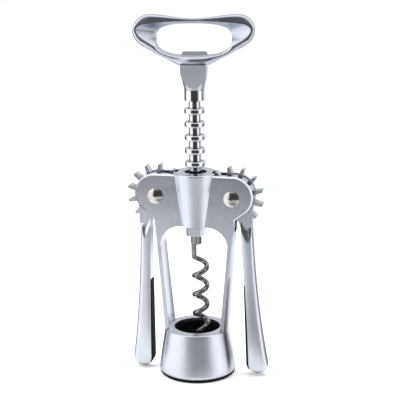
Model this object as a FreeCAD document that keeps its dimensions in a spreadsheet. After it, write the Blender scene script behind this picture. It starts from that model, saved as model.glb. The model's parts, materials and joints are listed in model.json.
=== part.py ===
"""Wing corkscrew with a crown-cap opener head, modelled piece by piece in millimetres.

The origin is the centre of the bell's foot, Z points up, the front faces -Y and X points right.
The pose is the photographed one: wings down, spindle up, worm tip at the cork hole.
"""
import FreeCAD, Part
import math
import os
import Sketcher

V = FreeCAD.Vector
PART_FOLDER = "parts"

# Driving dimensions: name, value and what it measures. Lengths in millimetres, angles in degrees.
SIZES = [
    ("bell_height", 24.8, "height of the bell's top face"),
    ("bell_foot_round", 2.2, "rounding of the bell's lower rim"),
    ("bell_shoulder_round", 0.9, "rounding of the bell's shoulder"),
    ("bell_roof", 1.6, "thickness of the bell's top"),
    ("bell_rim_wall", 2.6, "wall of the bell at its foot"),
    ("bell_top_wall", 1.0, "wall of the bell under its roof"),
    ("cork_hole_radius", 12.0, "hole in the bell's top for the cork"),
    ("guide_lip", 1.0, "how far the plastic guide stands below the metal"),
    ("guide_lip_inset", 0.6, "step from the bell's rim in to the guide's lip"),
    ("guide_bore_radius", 15.0, "bore of the guide, over a bottle's neck"),
    ("guide_foot_wall", 2.3, "wall of the guide at the bell's foot"),
    ("guide_top_wall", 0.9, "wall of the guide under the bell's roof"),
    ("guide_relief", 0.3, "undercut at the upper end of the guide's bore"),
    ("guide_roof", 2.4, "thickness of the guide's inner flange under the bell's roof"),
    ("guide_lead", 2.4, "widening of the guide's mouth"),
    ("guide_gap", 0.1, "gap between the guide and the bell's wall"),
    ("leg_wall", 1.8, "thickness of a leg"),
    ("leg_spread", 4.1, "how much further out a leg is at the arch than at the bell"),
    ("leg_foot_depth", 14.0, "front to back size of a leg at the bell"),
    ("plate_depth", 12.0, "front to back size of the frame's plates"),
    ("plate_rise", 11.5, "plates' upper edge above the pivots"),
    ("plate_bevel", 0.8, "bevel round the plates"),
    ("ear_radius", 10.5, "round ear over each pivot"),
    ("ear_shift", 0.4, "ear centre, outwards from the pivot"),
    ("ear_flank_angle", 52.0, "where the ear's arc ends, degrees below level"),
    ("hip_radius", 6.0, "hollow between an ear and its leg"),
    ("arch_drop", 15.5, "top of the window between the legs, below the pivots"),
    ("arch_radius", 10.6, "round corners of the window"),
    ("arch_half_width", 17.6, "window, half width under its corners"),
    ("sleeve_rise", 12.3, "top of the cone-shaped sleeve, above the pivots"),
    ("sleeve_top_radius", 11.4, "sleeve, outer radius at its top"),
    ("sleeve_foot_radius", 8.3, "sleeve, outer radius at its foot"),
    ("sleeve_round", 0.8, "rounding of the sleeve's upper rim"),
    ("rack_gap", 0.25, "gap between the rack's rings and the sleeve's bore"),
    ("pivot_offset", 19.8, "pivot axis, out from the middle"),
    ("pivot_height", 95.5, "pivot axis, above the foot"),
    ("gear_thickness", 5.0, "gear and hub plate of a wing"),
    ("gear_side_gap", 0.3, "gap on each side of a gear in its slot"),
    ("gear_root_radius", 11.2, "gear, radius between the teeth"),
    ("gear_tip_radius", 15.8, "gear, radius over the teeth"),
    ("gear_tip_gap", 0.6, "gap between the tooth tips and the slot"),
    ("tooth_count", 13, "tooth places round a whole gear"),
    ("teeth_cut", 10, "teeth that a gear really has, beside its arm"),
    ("tooth_root_width", 2.4, "tooth thickness at its root"),
    ("tooth_tip_width", 1.8, "tooth thickness near its tip"),
    ("slot_drop", 18.0, "lower end of the gear slot in a leg's outer side, below the pivots"),
    ("ring_pitch", 6.8, "distance from one ring of the rack to the next"),
    ("ring_radius", 5.4, "rack ring"),
    ("ring_thickness", 2.9, "rack ring"),
    ("ring_round", 0.7, "rounding of a ring's edges"),
    ("groove_radius", 3.1, "rack between its rings"),
    ("rack_drop", 0.45, "how far the groove between the wings sits below the pivots"),
    ("rings_above", 7, "rings above the pivots' level"),
    ("shoulder_radius", 5.2, "plain part of the rack below the neck"),
    ("rack_shoulder", 5.4, "plain length of the rack between its last ring and the neck"),
    ("tenon_radius", 3.2, "rack's end inside the neck"),
    ("tenon_length", 12.0, "rack's end inside the neck"),
    ("press_gap", 0.03, "radial gap of parts that are pressed together"),
    ("pin_radius", 1.0, "cross pin in the neck"),
    ("pin_rise", 5.0, "cross pin, above the neck's lower end"),
    ("head_turn_angle", 7.6, "spindle turned about Z, degrees, as photographed"),
    ("head_depth", 9.0, "front to back size of the opener loop"),
    ("head_rise", 30.0, "the loop's widest place, above the neck's lower end"),
    ("head_end_out", 21.9, "centre of the loop's round ends, from the middle"),
    ("head_end_radius", 8.1, "round ends of the loop"),
    ("head_dip", 2.2, "dip in the middle of the loop's top"),
    ("head_flank_angle", 27.8, "slope of the loop's lower flanks, degrees"),
    ("head_edge", 0.7, "rounding of the loop's outer edges"),
    ("rim_width", 1.6, "front rim of the loop"),
    ("mouth_drop", 13.8, "lowest place of the dished opening, below the loop's widest place"),
    ("mouth_end_radius", 3.7, "dished opening, round ends"),
    ("mouth_end_drop", 0.8, "ends of the dished opening, below the loop's widest place"),
    ("eye_half_width", 19.0, "hole through the loop, half width"),
    ("eye_end_radius", 8.2, "hole through the loop, round ends"),
    ("eye_drop", 5.0, "hole's middle below the loop's widest place"),
    ("neck_foot_radius", 5.2, "neck at its lower end"),
    ("neck_top_radius", 6.9, "neck where it meets the loop"),
    ("neck_length", 14.0, "neck"),
    ("lip_width", 12.6, "cap-lifting lip"),
    ("lip_height", 2.0, "cap-lifting lip, above the hole's lower edge"),
    ("lip_thickness", 2.0, "cap-lifting lip, front to back"),
    ("collar_side", 9.0, "square stop collar under the sleeve"),
    ("collar_height", 5.4, "square stop collar"),
    ("collar_bevel", 1.2, "bevel of the collar's corners"),
    ("collar_play", 0.1, "end gap of the collar on the spindle"),
    ("journal_radius", 2.2, "spindle inside the collar"),
    ("running_gap", 0.05, "radial gap of parts that turn on each other"),
    ("ferrule_radius", 2.85, "worm's ferrule"),
    ("ferrule_length", 4.8, "worm's ferrule below the collar"),
    ("ferrule_floor", 0.6, "metal of the ferrule above the wire's end"),
    ("stud_radius", 1.3, "ferrule's stud, pressed up into the spindle"),
    ("stud_length", 11.0, "ferrule's stud"),
    ("lock_pin_radius", 0.75, "pin that locks the stud"),
    ("wire_radius", 1.3, "worm's wire"),
    ("worm_radius", 3.3, "worm's helix, to the middle of the wire"),
    ("worm_pitch", 10.2, "worm's helix"),
    ("worm_turns", 4.0, "turns of the worm"),
    ("worm_offset", 2.05, "helix axis from the spindle's axis"),
    ("worm_shank", 5.9, "straight wire between the ferrule and the helix"),
    ("worm_bend", 1.5, "height over which the wire bends into the helix"),
    ("worm_point_radius", 0.2, "wire at the worm's tip"),
    ("rivet_radius", 2.5, "pivot rivet's shank"),
    ("rivet_core_radius", 1.5, "rear half of a rivet, inside the front half"),
    ("rivet_head_radius", 4.05, "rivet's domed head"),
    ("rivet_dome", 1.5, "height of a rivet's head"),
    ("rivet_rim", 0.3, "straight edge of a rivet's head"),
    ("arm_depth", 7.0, "front to back size of a wing's arm"),
    ("arm_drop", 94.5, "arm's lower end below the pivot"),
    ("arm_top", 15.5, "arm's upper end below the pivot"),
    ("arm_inner_top", 3.7, "arm's inner edge at its top, out from the pivot"),
    ("arm_outer_top", 10.0, "arm's outer edge at its top, out from the pivot"),
    ("arm_tip_out", 11.3, "centre of the arm's round end, out from the pivot"),
    ("arm_tip_radius", 5.1, "arm's round end"),
    ("arm_wrap_angle", 185.0, "where the round end meets the arm's inner edge, degrees"),
    ("arm_flare_angle", 8.5, "lean of the arm's outer edge where it meets the round end, degrees"),
    ("arm_inner_bulge", 0.35, "how far the arm's inner edge bends out"),
    ("arm_round", 2.4, "rounding of the arm's outer edges"),
    ("scoop_lead", 6.0, "how far above the arm's top the hollow's curve starts"),
    ("scoop_edge", 0.5, "metal left standing beside the hollow"),
    ("scoop_length", 10.0, "hollow where a hub runs into its arm"),
    ("pad_top", 46.0, "grip pad's upper end below the pivot"),
    ("pad_bottom", 92.0, "grip pad's lower end below the pivot"),
    ("pad_depth", 5.8, "grip pad, front to back"),
    ("pad_seat", 1.2, "how deep a grip pad sits in its arm"),
    ("pad_stand", 1.0, "how far a grip pad stands out of its arm near its foot"),
    ("pad_foot", 4.5, "height over which a grip pad's foot rounds off"),
    ("pad_gap", 0.05, "gap round a seated grip pad"),
    ("wing_lean_angle", 1.0, "degrees that the left wing is turned in and the right one out"),
]

# Places and sizes that follow from the driving ones.
FOLLOWING = [
    ("bell_foot_radius", "guide_bore_radius + guide_foot_wall + guide_gap + bell_rim_wall",
     "bell, largest outer radius, near its foot"),
    ("bell_shoulder_radius", "guide_bore_radius + guide_top_wall + guide_gap + bell_top_wall",
     "bell, outer radius at its top"),
    ("plate_top", "pivot_height + plate_rise", "height of the plates' upper edge"),
    ("arch_height", "pivot_height - arch_drop", "height of the window's top"),
    ("sleeve_top", "pivot_height + sleeve_rise", "height of the sleeve's top"),
    ("slot_floor", "pivot_height - slot_drop", "height of the gear slots' lower end"),
    ("rings_below", "floor((arch_drop - rack_drop - ring_thickness / 2) / ring_pitch + 0.5)",
     "rings between the pivots' level and the collar"),
    ("rack_top", "pivot_height - rack_drop + (rings_above + 0.5) * ring_pitch - ring_thickness / 2",
     "height of the shoulder over the last ring"),
    ("neck_foot", "rack_top + rack_shoulder", "height of the neck's lower end"),
    ("head_centre", "neck_foot + head_rise", "height of the loop's widest place"),
    ("mouth_foot", "head_centre - mouth_drop", "height of the dished opening's lowest place"),
    ("collar_top", "arch_height - collar_play", "height of the collar's upper face"),
    ("ferrule_top", "collar_top - collar_height - 2 * collar_play", "height of the ferrule's upper face"),
]

doc = FreeCAD.newDocument("wing_corkscrew")
sheet = doc.addObject("Spreadsheet::Sheet", "sizes")
rows = [(alias, str(value), meaning) for alias, value, meaning in SIZES]
rows += [(alias, "=" + formula, meaning) for alias, formula, meaning in FOLLOWING]
for row, (alias, content, meaning) in enumerate(rows, 1):
    sheet.set(f"A{row}", alias)
    sheet.set(f"B{row}", content)
    sheet.set(f"C{row}", meaning)
    sheet.setAlias(f"B{row}", alias)
doc.recompute()


def value_of(expression):
    """Number that an expression over the sheet's names has now."""
    return float(sheet.evalExpression(str(expression)))


def bound(expression):
    """The same expression as an object outside the sheet has to write it."""
    text = str(expression)
    for alias, _, _ in rows:
        text = replace_word(text, alias, "sizes." + alias)
    return text


def replace_word(text, word, new):
    """Put new in place of each whole word in the text."""
    out, rest = "", text
    while word in rest:
        place = rest.index(word)
        before = (out + rest[:place])[-1:]
        after = rest[place + len(word):][:1]
        whole = not (before.isalnum() or before in ("_", ".")) and not (after.isalnum() or after == "_")
        out += rest[:place] + (new if whole and before != "." else word)
        rest = rest[place + len(word):]
    return out + rest


def bind(thing, prop, expression):
    """Tie a property of an object to an expression over the sheet."""
    thing.setExpression(prop, bound(expression))


# Sub-part bodies and their sketches


def new_body(label):
    """Empty body that will be one sub-part."""
    body = doc.addObject("PartDesign::Body", label)
    body.Label = label
    return body


def new_sketch(body, name, role, offset=None):
    """Sketch on one of the body's own origin planes, moved along the plane's normal by an expression."""
    sketch = body.newObject("Sketcher::SketchObject", name)
    plane = [item for item in body.Origin.OriginFeatures if item.Role == role][0]
    sketch.AttachmentSupport = (plane, [""])
    sketch.MapMode = "FlatFace"
    if offset is not None:
        bind(sketch, "AttachmentOffset.Base.z", offset)
    return sketch


def hold_point(sketch, geometry, end, across, up):
    """Hold a point of a sketch at two expressions, measured from the sketch's origin."""
    for kind, expression in (("DistanceX", across), ("DistanceY", up)):
        index = sketch.addConstraint(Sketcher.Constraint(kind, -1, 1, geometry, end, value_of(expression)))
        if not is_number(expression):
            sketch.setExpression(f"Constraints[{index}]", bound(expression))


def is_number(expression):
    """True for a plain number, which needs no tie to the sheet."""
    return str(expression).lstrip("-").replace(".", "", 1).isdigit()


def draw_outline(sketch, start, steps):
    """Closed outline: each step is a corner, or a corner and a point that the arc to it passes through."""
    here = V(value_of(start[0]), value_of(start[1]), 0)
    first = None
    last_end = None
    for step in steps:
        corner = step[0]
        there = V(value_of(corner[0]), value_of(corner[1]), 0)
        if len(step) == 1:
            shape = Part.LineSegment(here, there)
            index = sketch.addGeometry(shape, False)
            head, tail = 1, 2
        else:
            middle = V(value_of(step[1][0]), value_of(step[1][1]), 0)
            turns_left = (middle - here).cross(there - middle).z > 0
            ends = (here, there) if turns_left else (there, here)
            index = sketch.addGeometry(Part.Arc(ends[0], middle, ends[1]), False)
            head, tail = (1, 2) if turns_left else (2, 1)
            guide = sketch.addGeometry(Part.Point(middle), True)
            hold_point(sketch, guide, 1, *step[1])
            sketch.addConstraint(Sketcher.Constraint("PointOnObject", guide, 1, index))
        if first is None:
            first = (index, head)
        else:
            sketch.addConstraint(Sketcher.Constraint("Coincident", last_end[0], last_end[1], index, head))
        hold_point(sketch, index, tail, *corner)
        last_end = (index, tail)
        here = there
    sketch.addConstraint(Sketcher.Constraint("Coincident", last_end[0], last_end[1], first[0], first[1]))
    return sketch


def draw_circle(sketch, across, up, radius):
    """Circle held by its centre and radius."""
    centre = V(value_of(across), value_of(up), 0)
    index = sketch.addGeometry(Part.Circle(centre, V(0, 0, 1), value_of(radius)), False)
    hold_point(sketch, index, 3, across, up)
    size = sketch.addConstraint(Sketcher.Constraint("Radius", index, value_of(radius)))
    sketch.setExpression(f"Constraints[{size}]", bound(radius))
    return sketch


def corners(*points):
    """Steps of straight lines through the given corners."""
    return [(point,) for point in points]


def on_circle(across, up, radius, degrees):
    """Point of a circle as a pair of expressions."""
    return (f"({across}) + ({radius}) * cos({degrees})", f"({up}) + ({radius}) * sin({degrees})")


def smooth_middle(start, end, way):
    """Middle of the arc from start to end that arrives in the direction of the given angle."""
    run = f"(({end[0]}) - ({start[0]}))"
    rise = f"(({end[1]}) - ({start[1]}))"
    length = f"sqrt({run} ^ 2 + {rise} ^ 2)"
    chord = f"atan2({rise}; {run})"
    bow = f"({length} / 2 * tan((({way}) * 1 deg - {chord}) / 2))"
    return (f"(({start[0]}) + ({end[0]})) / 2 + {bow} * sin({chord})",
            f"(({start[1]}) + ({end[1]})) / 2 - {bow} * cos({chord})")


def add_pad(body, name, sketch, length):
    """Pad to both sides of the sketch's plane, of the given whole length."""
    pad = body.newObject("PartDesign::Pad", name)
    pad.Profile = sketch
    bind(pad, "Length", length)
    pad.Midplane = True
    return pad


def add_pocket(body, name, sketch, length=None):
    """Pocket to both sides of the sketch's plane: through everything, or of the given whole length."""
    pocket = body.newObject("PartDesign::Pocket", name)
    pocket.Profile = sketch
    pocket.Midplane = True
    if length is None:
        pocket.Type = "ThroughAll"
    else:
        bind(pocket, "Length", length)
    return pocket


def add_turned(body, name, sketch, cut=False):
    """Whole turn of the sketch about its own vertical axis."""
    kind = "PartDesign::Groove" if cut else "PartDesign::Revolution"
    turned = body.newObject(kind, name)
    turned.Profile = sketch
    turned.ReferenceAxis = (sketch, ["V_Axis"])
    turned.Angle = 360.0
    return turned


def dress(body, kind, name, base, edges, size_name, size):
    """Fillet or chamfer on chosen edges of a feature."""
    feature = body.newObject(kind, name)
    feature.Base = (base, edges)
    bind(feature, size_name, size)
    return feature


def is_level(feature, name, height):
    """True for an edge that lies at one height."""
    return all(abs(vertex.Z - height) < 1e-4 for vertex in feature.Shape.Edges[int(name[4:]) - 1].Vertexes)


def edges_where(feature, test):
    """Names of the feature's edges whose ends and middle all pass the test."""
    names = []
    for number, edge in enumerate(feature.Shape.Edges, 1):
        middle = edge.valueAt((edge.FirstParameter + edge.LastParameter) / 2)
        ends = [vertex.Point for vertex in edge.Vertexes]
        if all(test(point) for point in [middle] + ends):
            names.append(f"Edge{number}")
    return names


def turn_about_z(thing, degrees):
    """Placement that turns a sub-part about the spindle's axis."""
    bind(thing, "Placement.Rotation.Angle", degrees)
    thing.Placement.Rotation = FreeCAD.Rotation(V(0, 0, 1), value_of(degrees))


# Frame: one casting of two plates, sleeve, legs and bell


def leg_outer(height):
    """Outer radius of the legs' cone at a height."""
    slope = "leg_spread / (arch_height - bell_height)"
    return f"bell_shoulder_radius + ({height} - bell_height) * {slope}"


def plate_outline(sketch):
    """Plates seen from the front: ears, shoulders, and the window's arch below."""
    ear_x = "(pivot_offset + ear_shift)"
    ear_z = "(plate_top - ear_radius)"
    foot_z = "(arch_height - arch_radius)"
    foot_outer = f"sqrt(({leg_outer(foot_z)}) ^ 2 - plate_depth ^ 2 / 4)"
    flank = on_circle(ear_x, ear_z, "ear_radius", "-ear_flank_angle")
    corner_z = f"({flank[1]} - ({flank[0]} - {foot_outer}) / tan(ear_flank_angle))"
    reach = "(hip_radius * tan(ear_flank_angle / 2))"
    waist = (foot_outer, f"{corner_z} - {reach}")
    hip = (f"{foot_outer} + {reach} * sin(ear_flank_angle)", f"{corner_z} + {reach} * cos(ear_flank_angle)")
    bend = on_circle(f"{foot_outer} + hip_radius", waist[1], "hip_radius", "180 - ear_flank_angle / 2")
    ear_top = (ear_x, "plate_top")
    ear_side = on_circle(ear_x, ear_z, "ear_radius", "0")
    arch_start = ("arch_half_width - arch_radius", "arch_height")
    arch_turn = on_circle("arch_half_width - arch_radius", foot_z, "arch_radius", "45")
    draw_outline(sketch, ("arch_half_width", foot_z), [
        ((foot_outer, foot_z),),
        (waist,),
        (hip, bend),
        (flank,),
        (ear_top, ear_side),
        (mirror(ear_top),),
        (mirror(flank), mirror(ear_side)),
        (mirror(hip),),
        (mirror(waist), mirror(bend)),
        (mirror((foot_outer, foot_z)),),
        (("-arch_half_width", foot_z),),
        (mirror(arch_start), mirror(arch_turn)),
        (arch_start,),
        (("arch_half_width", foot_z), arch_turn),
    ])


def mirror(point):
    """The same point on the other side of the middle."""
    return (f"-({point[0]})", point[1])


def make_frame():
    """Die-cast frame."""
    body = new_body("frame_casting")
    outline = new_sketch(body, "plate_outline", "XZ_Plane")
    plate_outline(outline)
    plates = add_pad(body, "plates", outline, "plate_depth")
    doc.recompute()
    face = value_of("plate_depth / 2")
    foot = value_of("arch_height - arch_radius")
    window = value_of("arch_half_width") + 0.1

    def on_rim(point):
        inside_window = abs(point.x) < window and point.z < value_of("arch_height") + 0.1
        return abs(abs(point.y) - face) < 1e-4 and not inside_window and point.z >= foot - 1e-4

    rim = [name for name in edges_where(plates, on_rim) if not is_level(plates, name, foot)]
    dress(body, "PartDesign::Chamfer", "plate_bevels", plates, rim, "Size", "plate_bevel")

    legs = new_sketch(body, "leg_section", "XZ_Plane")
    top = "(slot_floor + hip_radius)"
    foot = "(bell_height - bell_shoulder_round)"
    draw_outline(legs, (f"{leg_outer(foot)} - leg_wall", foot), corners(
        (leg_outer(foot), foot),
        (leg_outer(top), top),
        (f"{leg_outer(top)} - leg_wall", top),
        (f"{leg_outer(foot)} - leg_wall", foot)))
    add_turned(body, "leg_wall", legs)

    for name, side in (("front_trim", -1), ("back_trim", 1)):
        trim = new_sketch(body, name, "YZ_Plane")
        far = f"{side} * (bell_foot_radius + leg_spread)"
        low = "(bell_height - 2 * bell_shoulder_round)"
        draw_outline(trim, (far, low), corners(
            (f"{side} * leg_foot_depth / 2", low),
            (f"{side} * plate_depth / 2", "arch_height - arch_radius"),
            (f"{side} * plate_depth / 2", "pivot_height"),
            (far, "pivot_height"),
            (far, low)))
        add_pocket(body, name + "_cut", trim)

    bell = new_sketch(body, "bell_section", "XZ_Plane")
    draw_bell(bell)
    add_turned(body, "bell", bell)

    sleeve = new_sketch(body, "sleeve_section", "XZ_Plane")
    draw_sleeve(sleeve)
    add_turned(body, "sleeve", sleeve)

    bore = new_sketch(body, "rack_bore_circle", "XZ_Plane")
    bore_radius = "(ring_radius + rack_gap)"
    draw_outline(bore, (0, "arch_height - 2"), corners(
        (bore_radius, "arch_height - 2"),
        (bore_radius, "sleeve_top - rack_gap"),
        (f"{bore_radius} + rack_gap * 2", "sleeve_top + rack_gap"),
        (0, "sleeve_top + rack_gap"),
        (0, "arch_height - 2")))
    add_turned(body, "rack_bore", bore, cut=True)

    for name, side in (("right", 1), ("left", -1)):
        slot = new_sketch(body, name + "_slot_outline", "XZ_Plane")
        draw_slot(slot, side)
        add_pocket(body, name + "_slot", slot, "gear_thickness + 2 * gear_side_gap")

    holes = new_sketch(body, "rivet_hole_circles", "XZ_Plane")
    for side in (1, -1):
        draw_circle(holes, f"{side} * pivot_offset", "pivot_height", "rivet_radius + press_gap")
    add_pocket(body, "rivet_holes", holes)
    return body


def draw_bell(sketch):
    """Bell: rounded foot and shoulder outside, a conical hollow for the guide inside."""
    foot = "guide_lip"
    roof_under = "(bell_height - bell_roof)"
    start = ("bell_foot_radius - bell_rim_wall", foot)
    draw_outline(sketch, start, [
        (("bell_foot_radius - bell_foot_round", foot),),
        (("bell_foot_radius", f"{foot} + bell_foot_round"),
         on_circle("bell_foot_radius - bell_foot_round", f"{foot} + bell_foot_round", "bell_foot_round", "-45")),
        (("bell_shoulder_radius", "bell_height - bell_shoulder_round"),),
        (("bell_shoulder_radius - bell_shoulder_round", "bell_height"),
         on_circle("bell_shoulder_radius - bell_shoulder_round", "bell_height - bell_shoulder_round",
                   "bell_shoulder_round", "45")),
        (("cork_hole_radius", "bell_height"),),
        (("cork_hole_radius", roof_under),),
        (("bell_shoulder_radius - bell_top_wall", roof_under),),
        (start,),
    ])


def draw_sleeve(sketch):
    """Cone-shaped sleeve round the rack, filled until the bore is cut."""
    draw_outline(sketch, (0, "arch_height"), [
        (("sleeve_foot_radius", "arch_height"),),
        (("sleeve_top_radius", "sleeve_top - sleeve_round"),),
        (("sleeve_top_radius - sleeve_round", "sleeve_top"),
         on_circle("sleeve_top_radius - sleeve_round", "sleeve_top - sleeve_round", "sleeve_round", "45")),
        ((0, "sleeve_top"),),
        ((0, "arch_height"),),
    ])


def draw_slot(sketch, side):
    """Slot for one gear: round about the pivot, open to the outside and above."""
    reach = "(gear_tip_radius + gear_tip_gap)"
    out = f"{side} * (pivot_offset + 2 * {reach})"
    mid = f"{side} * pivot_offset"
    high = f"(pivot_height + 2 * {reach})"
    bite = on_circle("pivot_offset", "pivot_height", reach, "180")
    lower = on_circle("pivot_offset", "pivot_height", reach, "-90")
    start = (mid, lower[1])
    draw_outline(sketch, start, [
        ((mid, "slot_floor"),),
        ((out, "slot_floor"),),
        ((out, high),),
        ((mid, high),),
        ((mid, f"pivot_height + {reach}"),),
        (start, (f"{side} * ({bite[0]})", bite[1])),
    ])


# Guide: black plastic liner of the bell


def make_guide():
    """Bottle guide that lines the bell and stands a little below it."""
    body = new_body("bottle_guide")
    sketch = new_sketch(body, "guide_section", "XZ_Plane")
    roof_under = "(bell_height - bell_roof)"
    rim = "(bell_foot_radius - bell_rim_wall - guide_gap)"
    top = "(bell_shoulder_radius - bell_top_wall - guide_gap)"
    draw_outline(sketch, ("guide_bore_radius + guide_lead", 0), corners(
        ("bell_foot_radius - guide_lip_inset - bell_foot_round / 4", 0),
        ("bell_foot_radius - guide_lip_inset", "guide_lip / 2"),
        ("bell_foot_radius - guide_lip_inset", "guide_lip"),
        (rim, "guide_lip"),
        (top, roof_under),
        ("cork_hole_radius + 1", roof_under),
        ("cork_hole_radius + 1", f"{roof_under} - guide_roof"),
        ("guide_bore_radius + guide_relief", f"{roof_under} - guide_roof"),
        ("guide_bore_radius + guide_relief", f"{roof_under} - guide_roof - guide_relief"),
        ("guide_bore_radius", f"{roof_under} - guide_roof - guide_relief"),
        ("guide_bore_radius", "guide_lead * 1.6"),
        ("guide_bore_radius + guide_lead", 0)))
    add_turned(body, "guide", sketch)
    return body


# Spindle: rack, head, pins, ferrule and worm


def ring_height(number):
    """Height of the middle of a rack ring; ring 0 is the first one above the pivots."""
    return f"pivot_height - rack_drop + ({number} + 0.5) * ring_pitch"


def make_rack():
    """Round rack: rod with turned rings, tenon above, journal for the collar below."""
    body = new_body("rack_spindle")
    rod = new_sketch(body, "rod_section", "XZ_Plane")
    draw_outline(rod, (0, "ferrule_top"), corners(
        ("journal_radius", "ferrule_top"),
        ("journal_radius", "collar_top"),
        ("groove_radius", "collar_top"),
        ("groove_radius", "rack_top"),
        ("shoulder_radius", "rack_top"),
        ("shoulder_radius", "neck_foot"),
        ("tenon_radius", "neck_foot"),
        ("tenon_radius", "neck_foot + tenon_length"),
        (0, "neck_foot + tenon_length"),
        (0, "ferrule_top")))
    add_turned(body, "rod", rod)

    ring = new_sketch(body, "ring_section", "XZ_Plane")
    low = f"({ring_height('(-rings_below)')} - ring_thickness / 2)"
    high = f"({low} + ring_thickness)"
    inner = "(ring_radius - ring_round)"
    core = "(groove_radius - 0.5)"
    draw_outline(ring, (core, low), [
        ((inner, low),),
        (("ring_radius", f"{low} + ring_round"), on_circle(inner, f"{low} + ring_round", "ring_round", "-45")),
        (("ring_radius", f"{high} - ring_round"),),
        ((inner, high), on_circle(inner, f"{high} - ring_round", "ring_round", "45")),
        ((core, high),),
        ((core, low),),
    ])
    turned = add_turned(body, "first_ring", ring)
    rings = body.newObject("PartDesign::LinearPattern", "rings")
    rings.Originals = [turned]
    rings.Direction = (ring, ["V_Axis"])
    bind(rings, "Occurrences", "rings_above + rings_below")
    bind(rings, "Length", "(rings_above + rings_below - 1) * ring_pitch")
    body.Tip = rings

    cross = new_sketch(body, "pin_circles", "XZ_Plane")
    draw_circle(cross, 0, "neck_foot + pin_rise", "pin_radius + press_gap")
    draw_circle(cross, 0, lock_pin_height(), "lock_pin_radius + press_gap")
    add_pocket(body, "pin_holes", cross)

    well = new_sketch(body, "stud_bore_section", "XZ_Plane")
    bore = "(stud_radius + press_gap)"
    depth = "(ferrule_top + stud_length + press_gap)"
    draw_outline(well, (0, "ferrule_top - 1"), corners(
        (bore, "ferrule_top - 1"), (bore, depth), (0, depth), (0, "ferrule_top - 1")))
    add_turned(body, "stud_bore", well, cut=True)
    turn_about_z(body, "head_turn_angle")
    return body


def lock_pin_height():
    """Height of the pin that locks the ferrule's stud, just above the collar."""
    return "(collar_top + 2 * lock_pin_radius + collar_play)"


def dipped_top(radius, dip):
    """Point where the loop's hollow top meets its round end, both of the given radius and dip height."""
    bow = f"((head_end_out ^ 2 + ({dip}) ^ 2 - ({radius}) ^ 2) / (2 * (({radius}) - ({dip}))))"
    share = f"(({radius}) / ({bow} + ({radius})))"
    return (f"head_end_out * (1 - {share})", f"head_centre + ({bow} + ({dip})) * {share}")


def loop_outline(sketch):
    """Opener loop from the front: dipped top, round ends, straight flanks down to the neck."""
    dip = "(head_end_radius - head_dip)"
    top = dipped_top("head_end_radius", dip)
    side = on_circle("head_end_out", "head_centre", "head_end_radius", "0")
    under = on_circle("head_end_out", "head_centre", "head_end_radius", "head_flank_angle - 90")
    waist_x = "(neck_top_radius - 0.4)"
    waist = (waist_x, f"({under[1]}) - (({under[0]}) - {waist_x}) * tan(head_flank_angle)")
    draw_outline(sketch, mirror(waist), [
        (waist,),
        (under,),
        (top, side),
        (mirror(top), (0, f"head_centre + {dip}")),
        (mirror(under), mirror(side)),
        (mirror(waist),),
    ])


def bulged(reach, rise, radius):
    """Where an arc that bulges to the given rise over the middle meets a round end at the given reach."""
    bow = f"((({reach}) ^ 2 + ({rise}) ^ 2 - ({radius}) ^ 2) / (2 * (({rise}) - ({radius}))))"
    share = f"(({radius}) / ({bow} - ({radius})))"
    return f"({reach}) * (1 + {share})", f"({bow} - ({rise})) * {share}"


def dish_mouth(sketch):
    """Front edge of the dished inside of the loop."""
    end_z = "(head_centre - mouth_end_drop)"
    out = "(head_end_out + head_end_radius - rim_width - mouth_end_radius)"
    crown = "(head_centre + head_end_radius - head_dip - rim_width)"
    top_x, top_rise = bulged(out, f"{crown} - {end_z}", "mouth_end_radius")
    low_x, low_fall = bulged(out, f"{end_z} - mouth_foot", "mouth_end_radius")
    top = (top_x, f"{end_z} + {top_rise}")
    under = (low_x, f"{end_z} - {low_fall}")
    side = on_circle(out, end_z, "mouth_end_radius", "0")
    draw_outline(sketch, under, [
        (top, side),
        (mirror(top), (0, crown)),
        (mirror(under), mirror(side)),
        (under, (0, "mouth_foot")),
    ])


def eye_points():
    """Corners and arc middles of the hole through the loop, right side only."""
    middle = "(head_centre - eye_drop)"
    out = "(eye_half_width - eye_end_radius)"
    top = on_circle(out, middle, "eye_end_radius", "85")
    side = on_circle(out, middle, "eye_end_radius", "0")
    under = on_circle(out, middle, "eye_end_radius", "-85")
    crown = (0, f"({top[1]}) + ({top[0]}) * tan(2.5)")
    keel = (0, f"({under[1]}) - ({under[0]}) * tan(2.5)")
    return top, side, under, crown, keel


def dish_floor(sketch):
    """Back edge of the dish, where the hole goes on through the loop."""
    top, side, under, crown, keel = eye_points()
    draw_outline(sketch, under, [
        (top, side),
        (mirror(top), crown),
        (mirror(under), mirror(side)),
        (under, keel),
    ])


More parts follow.
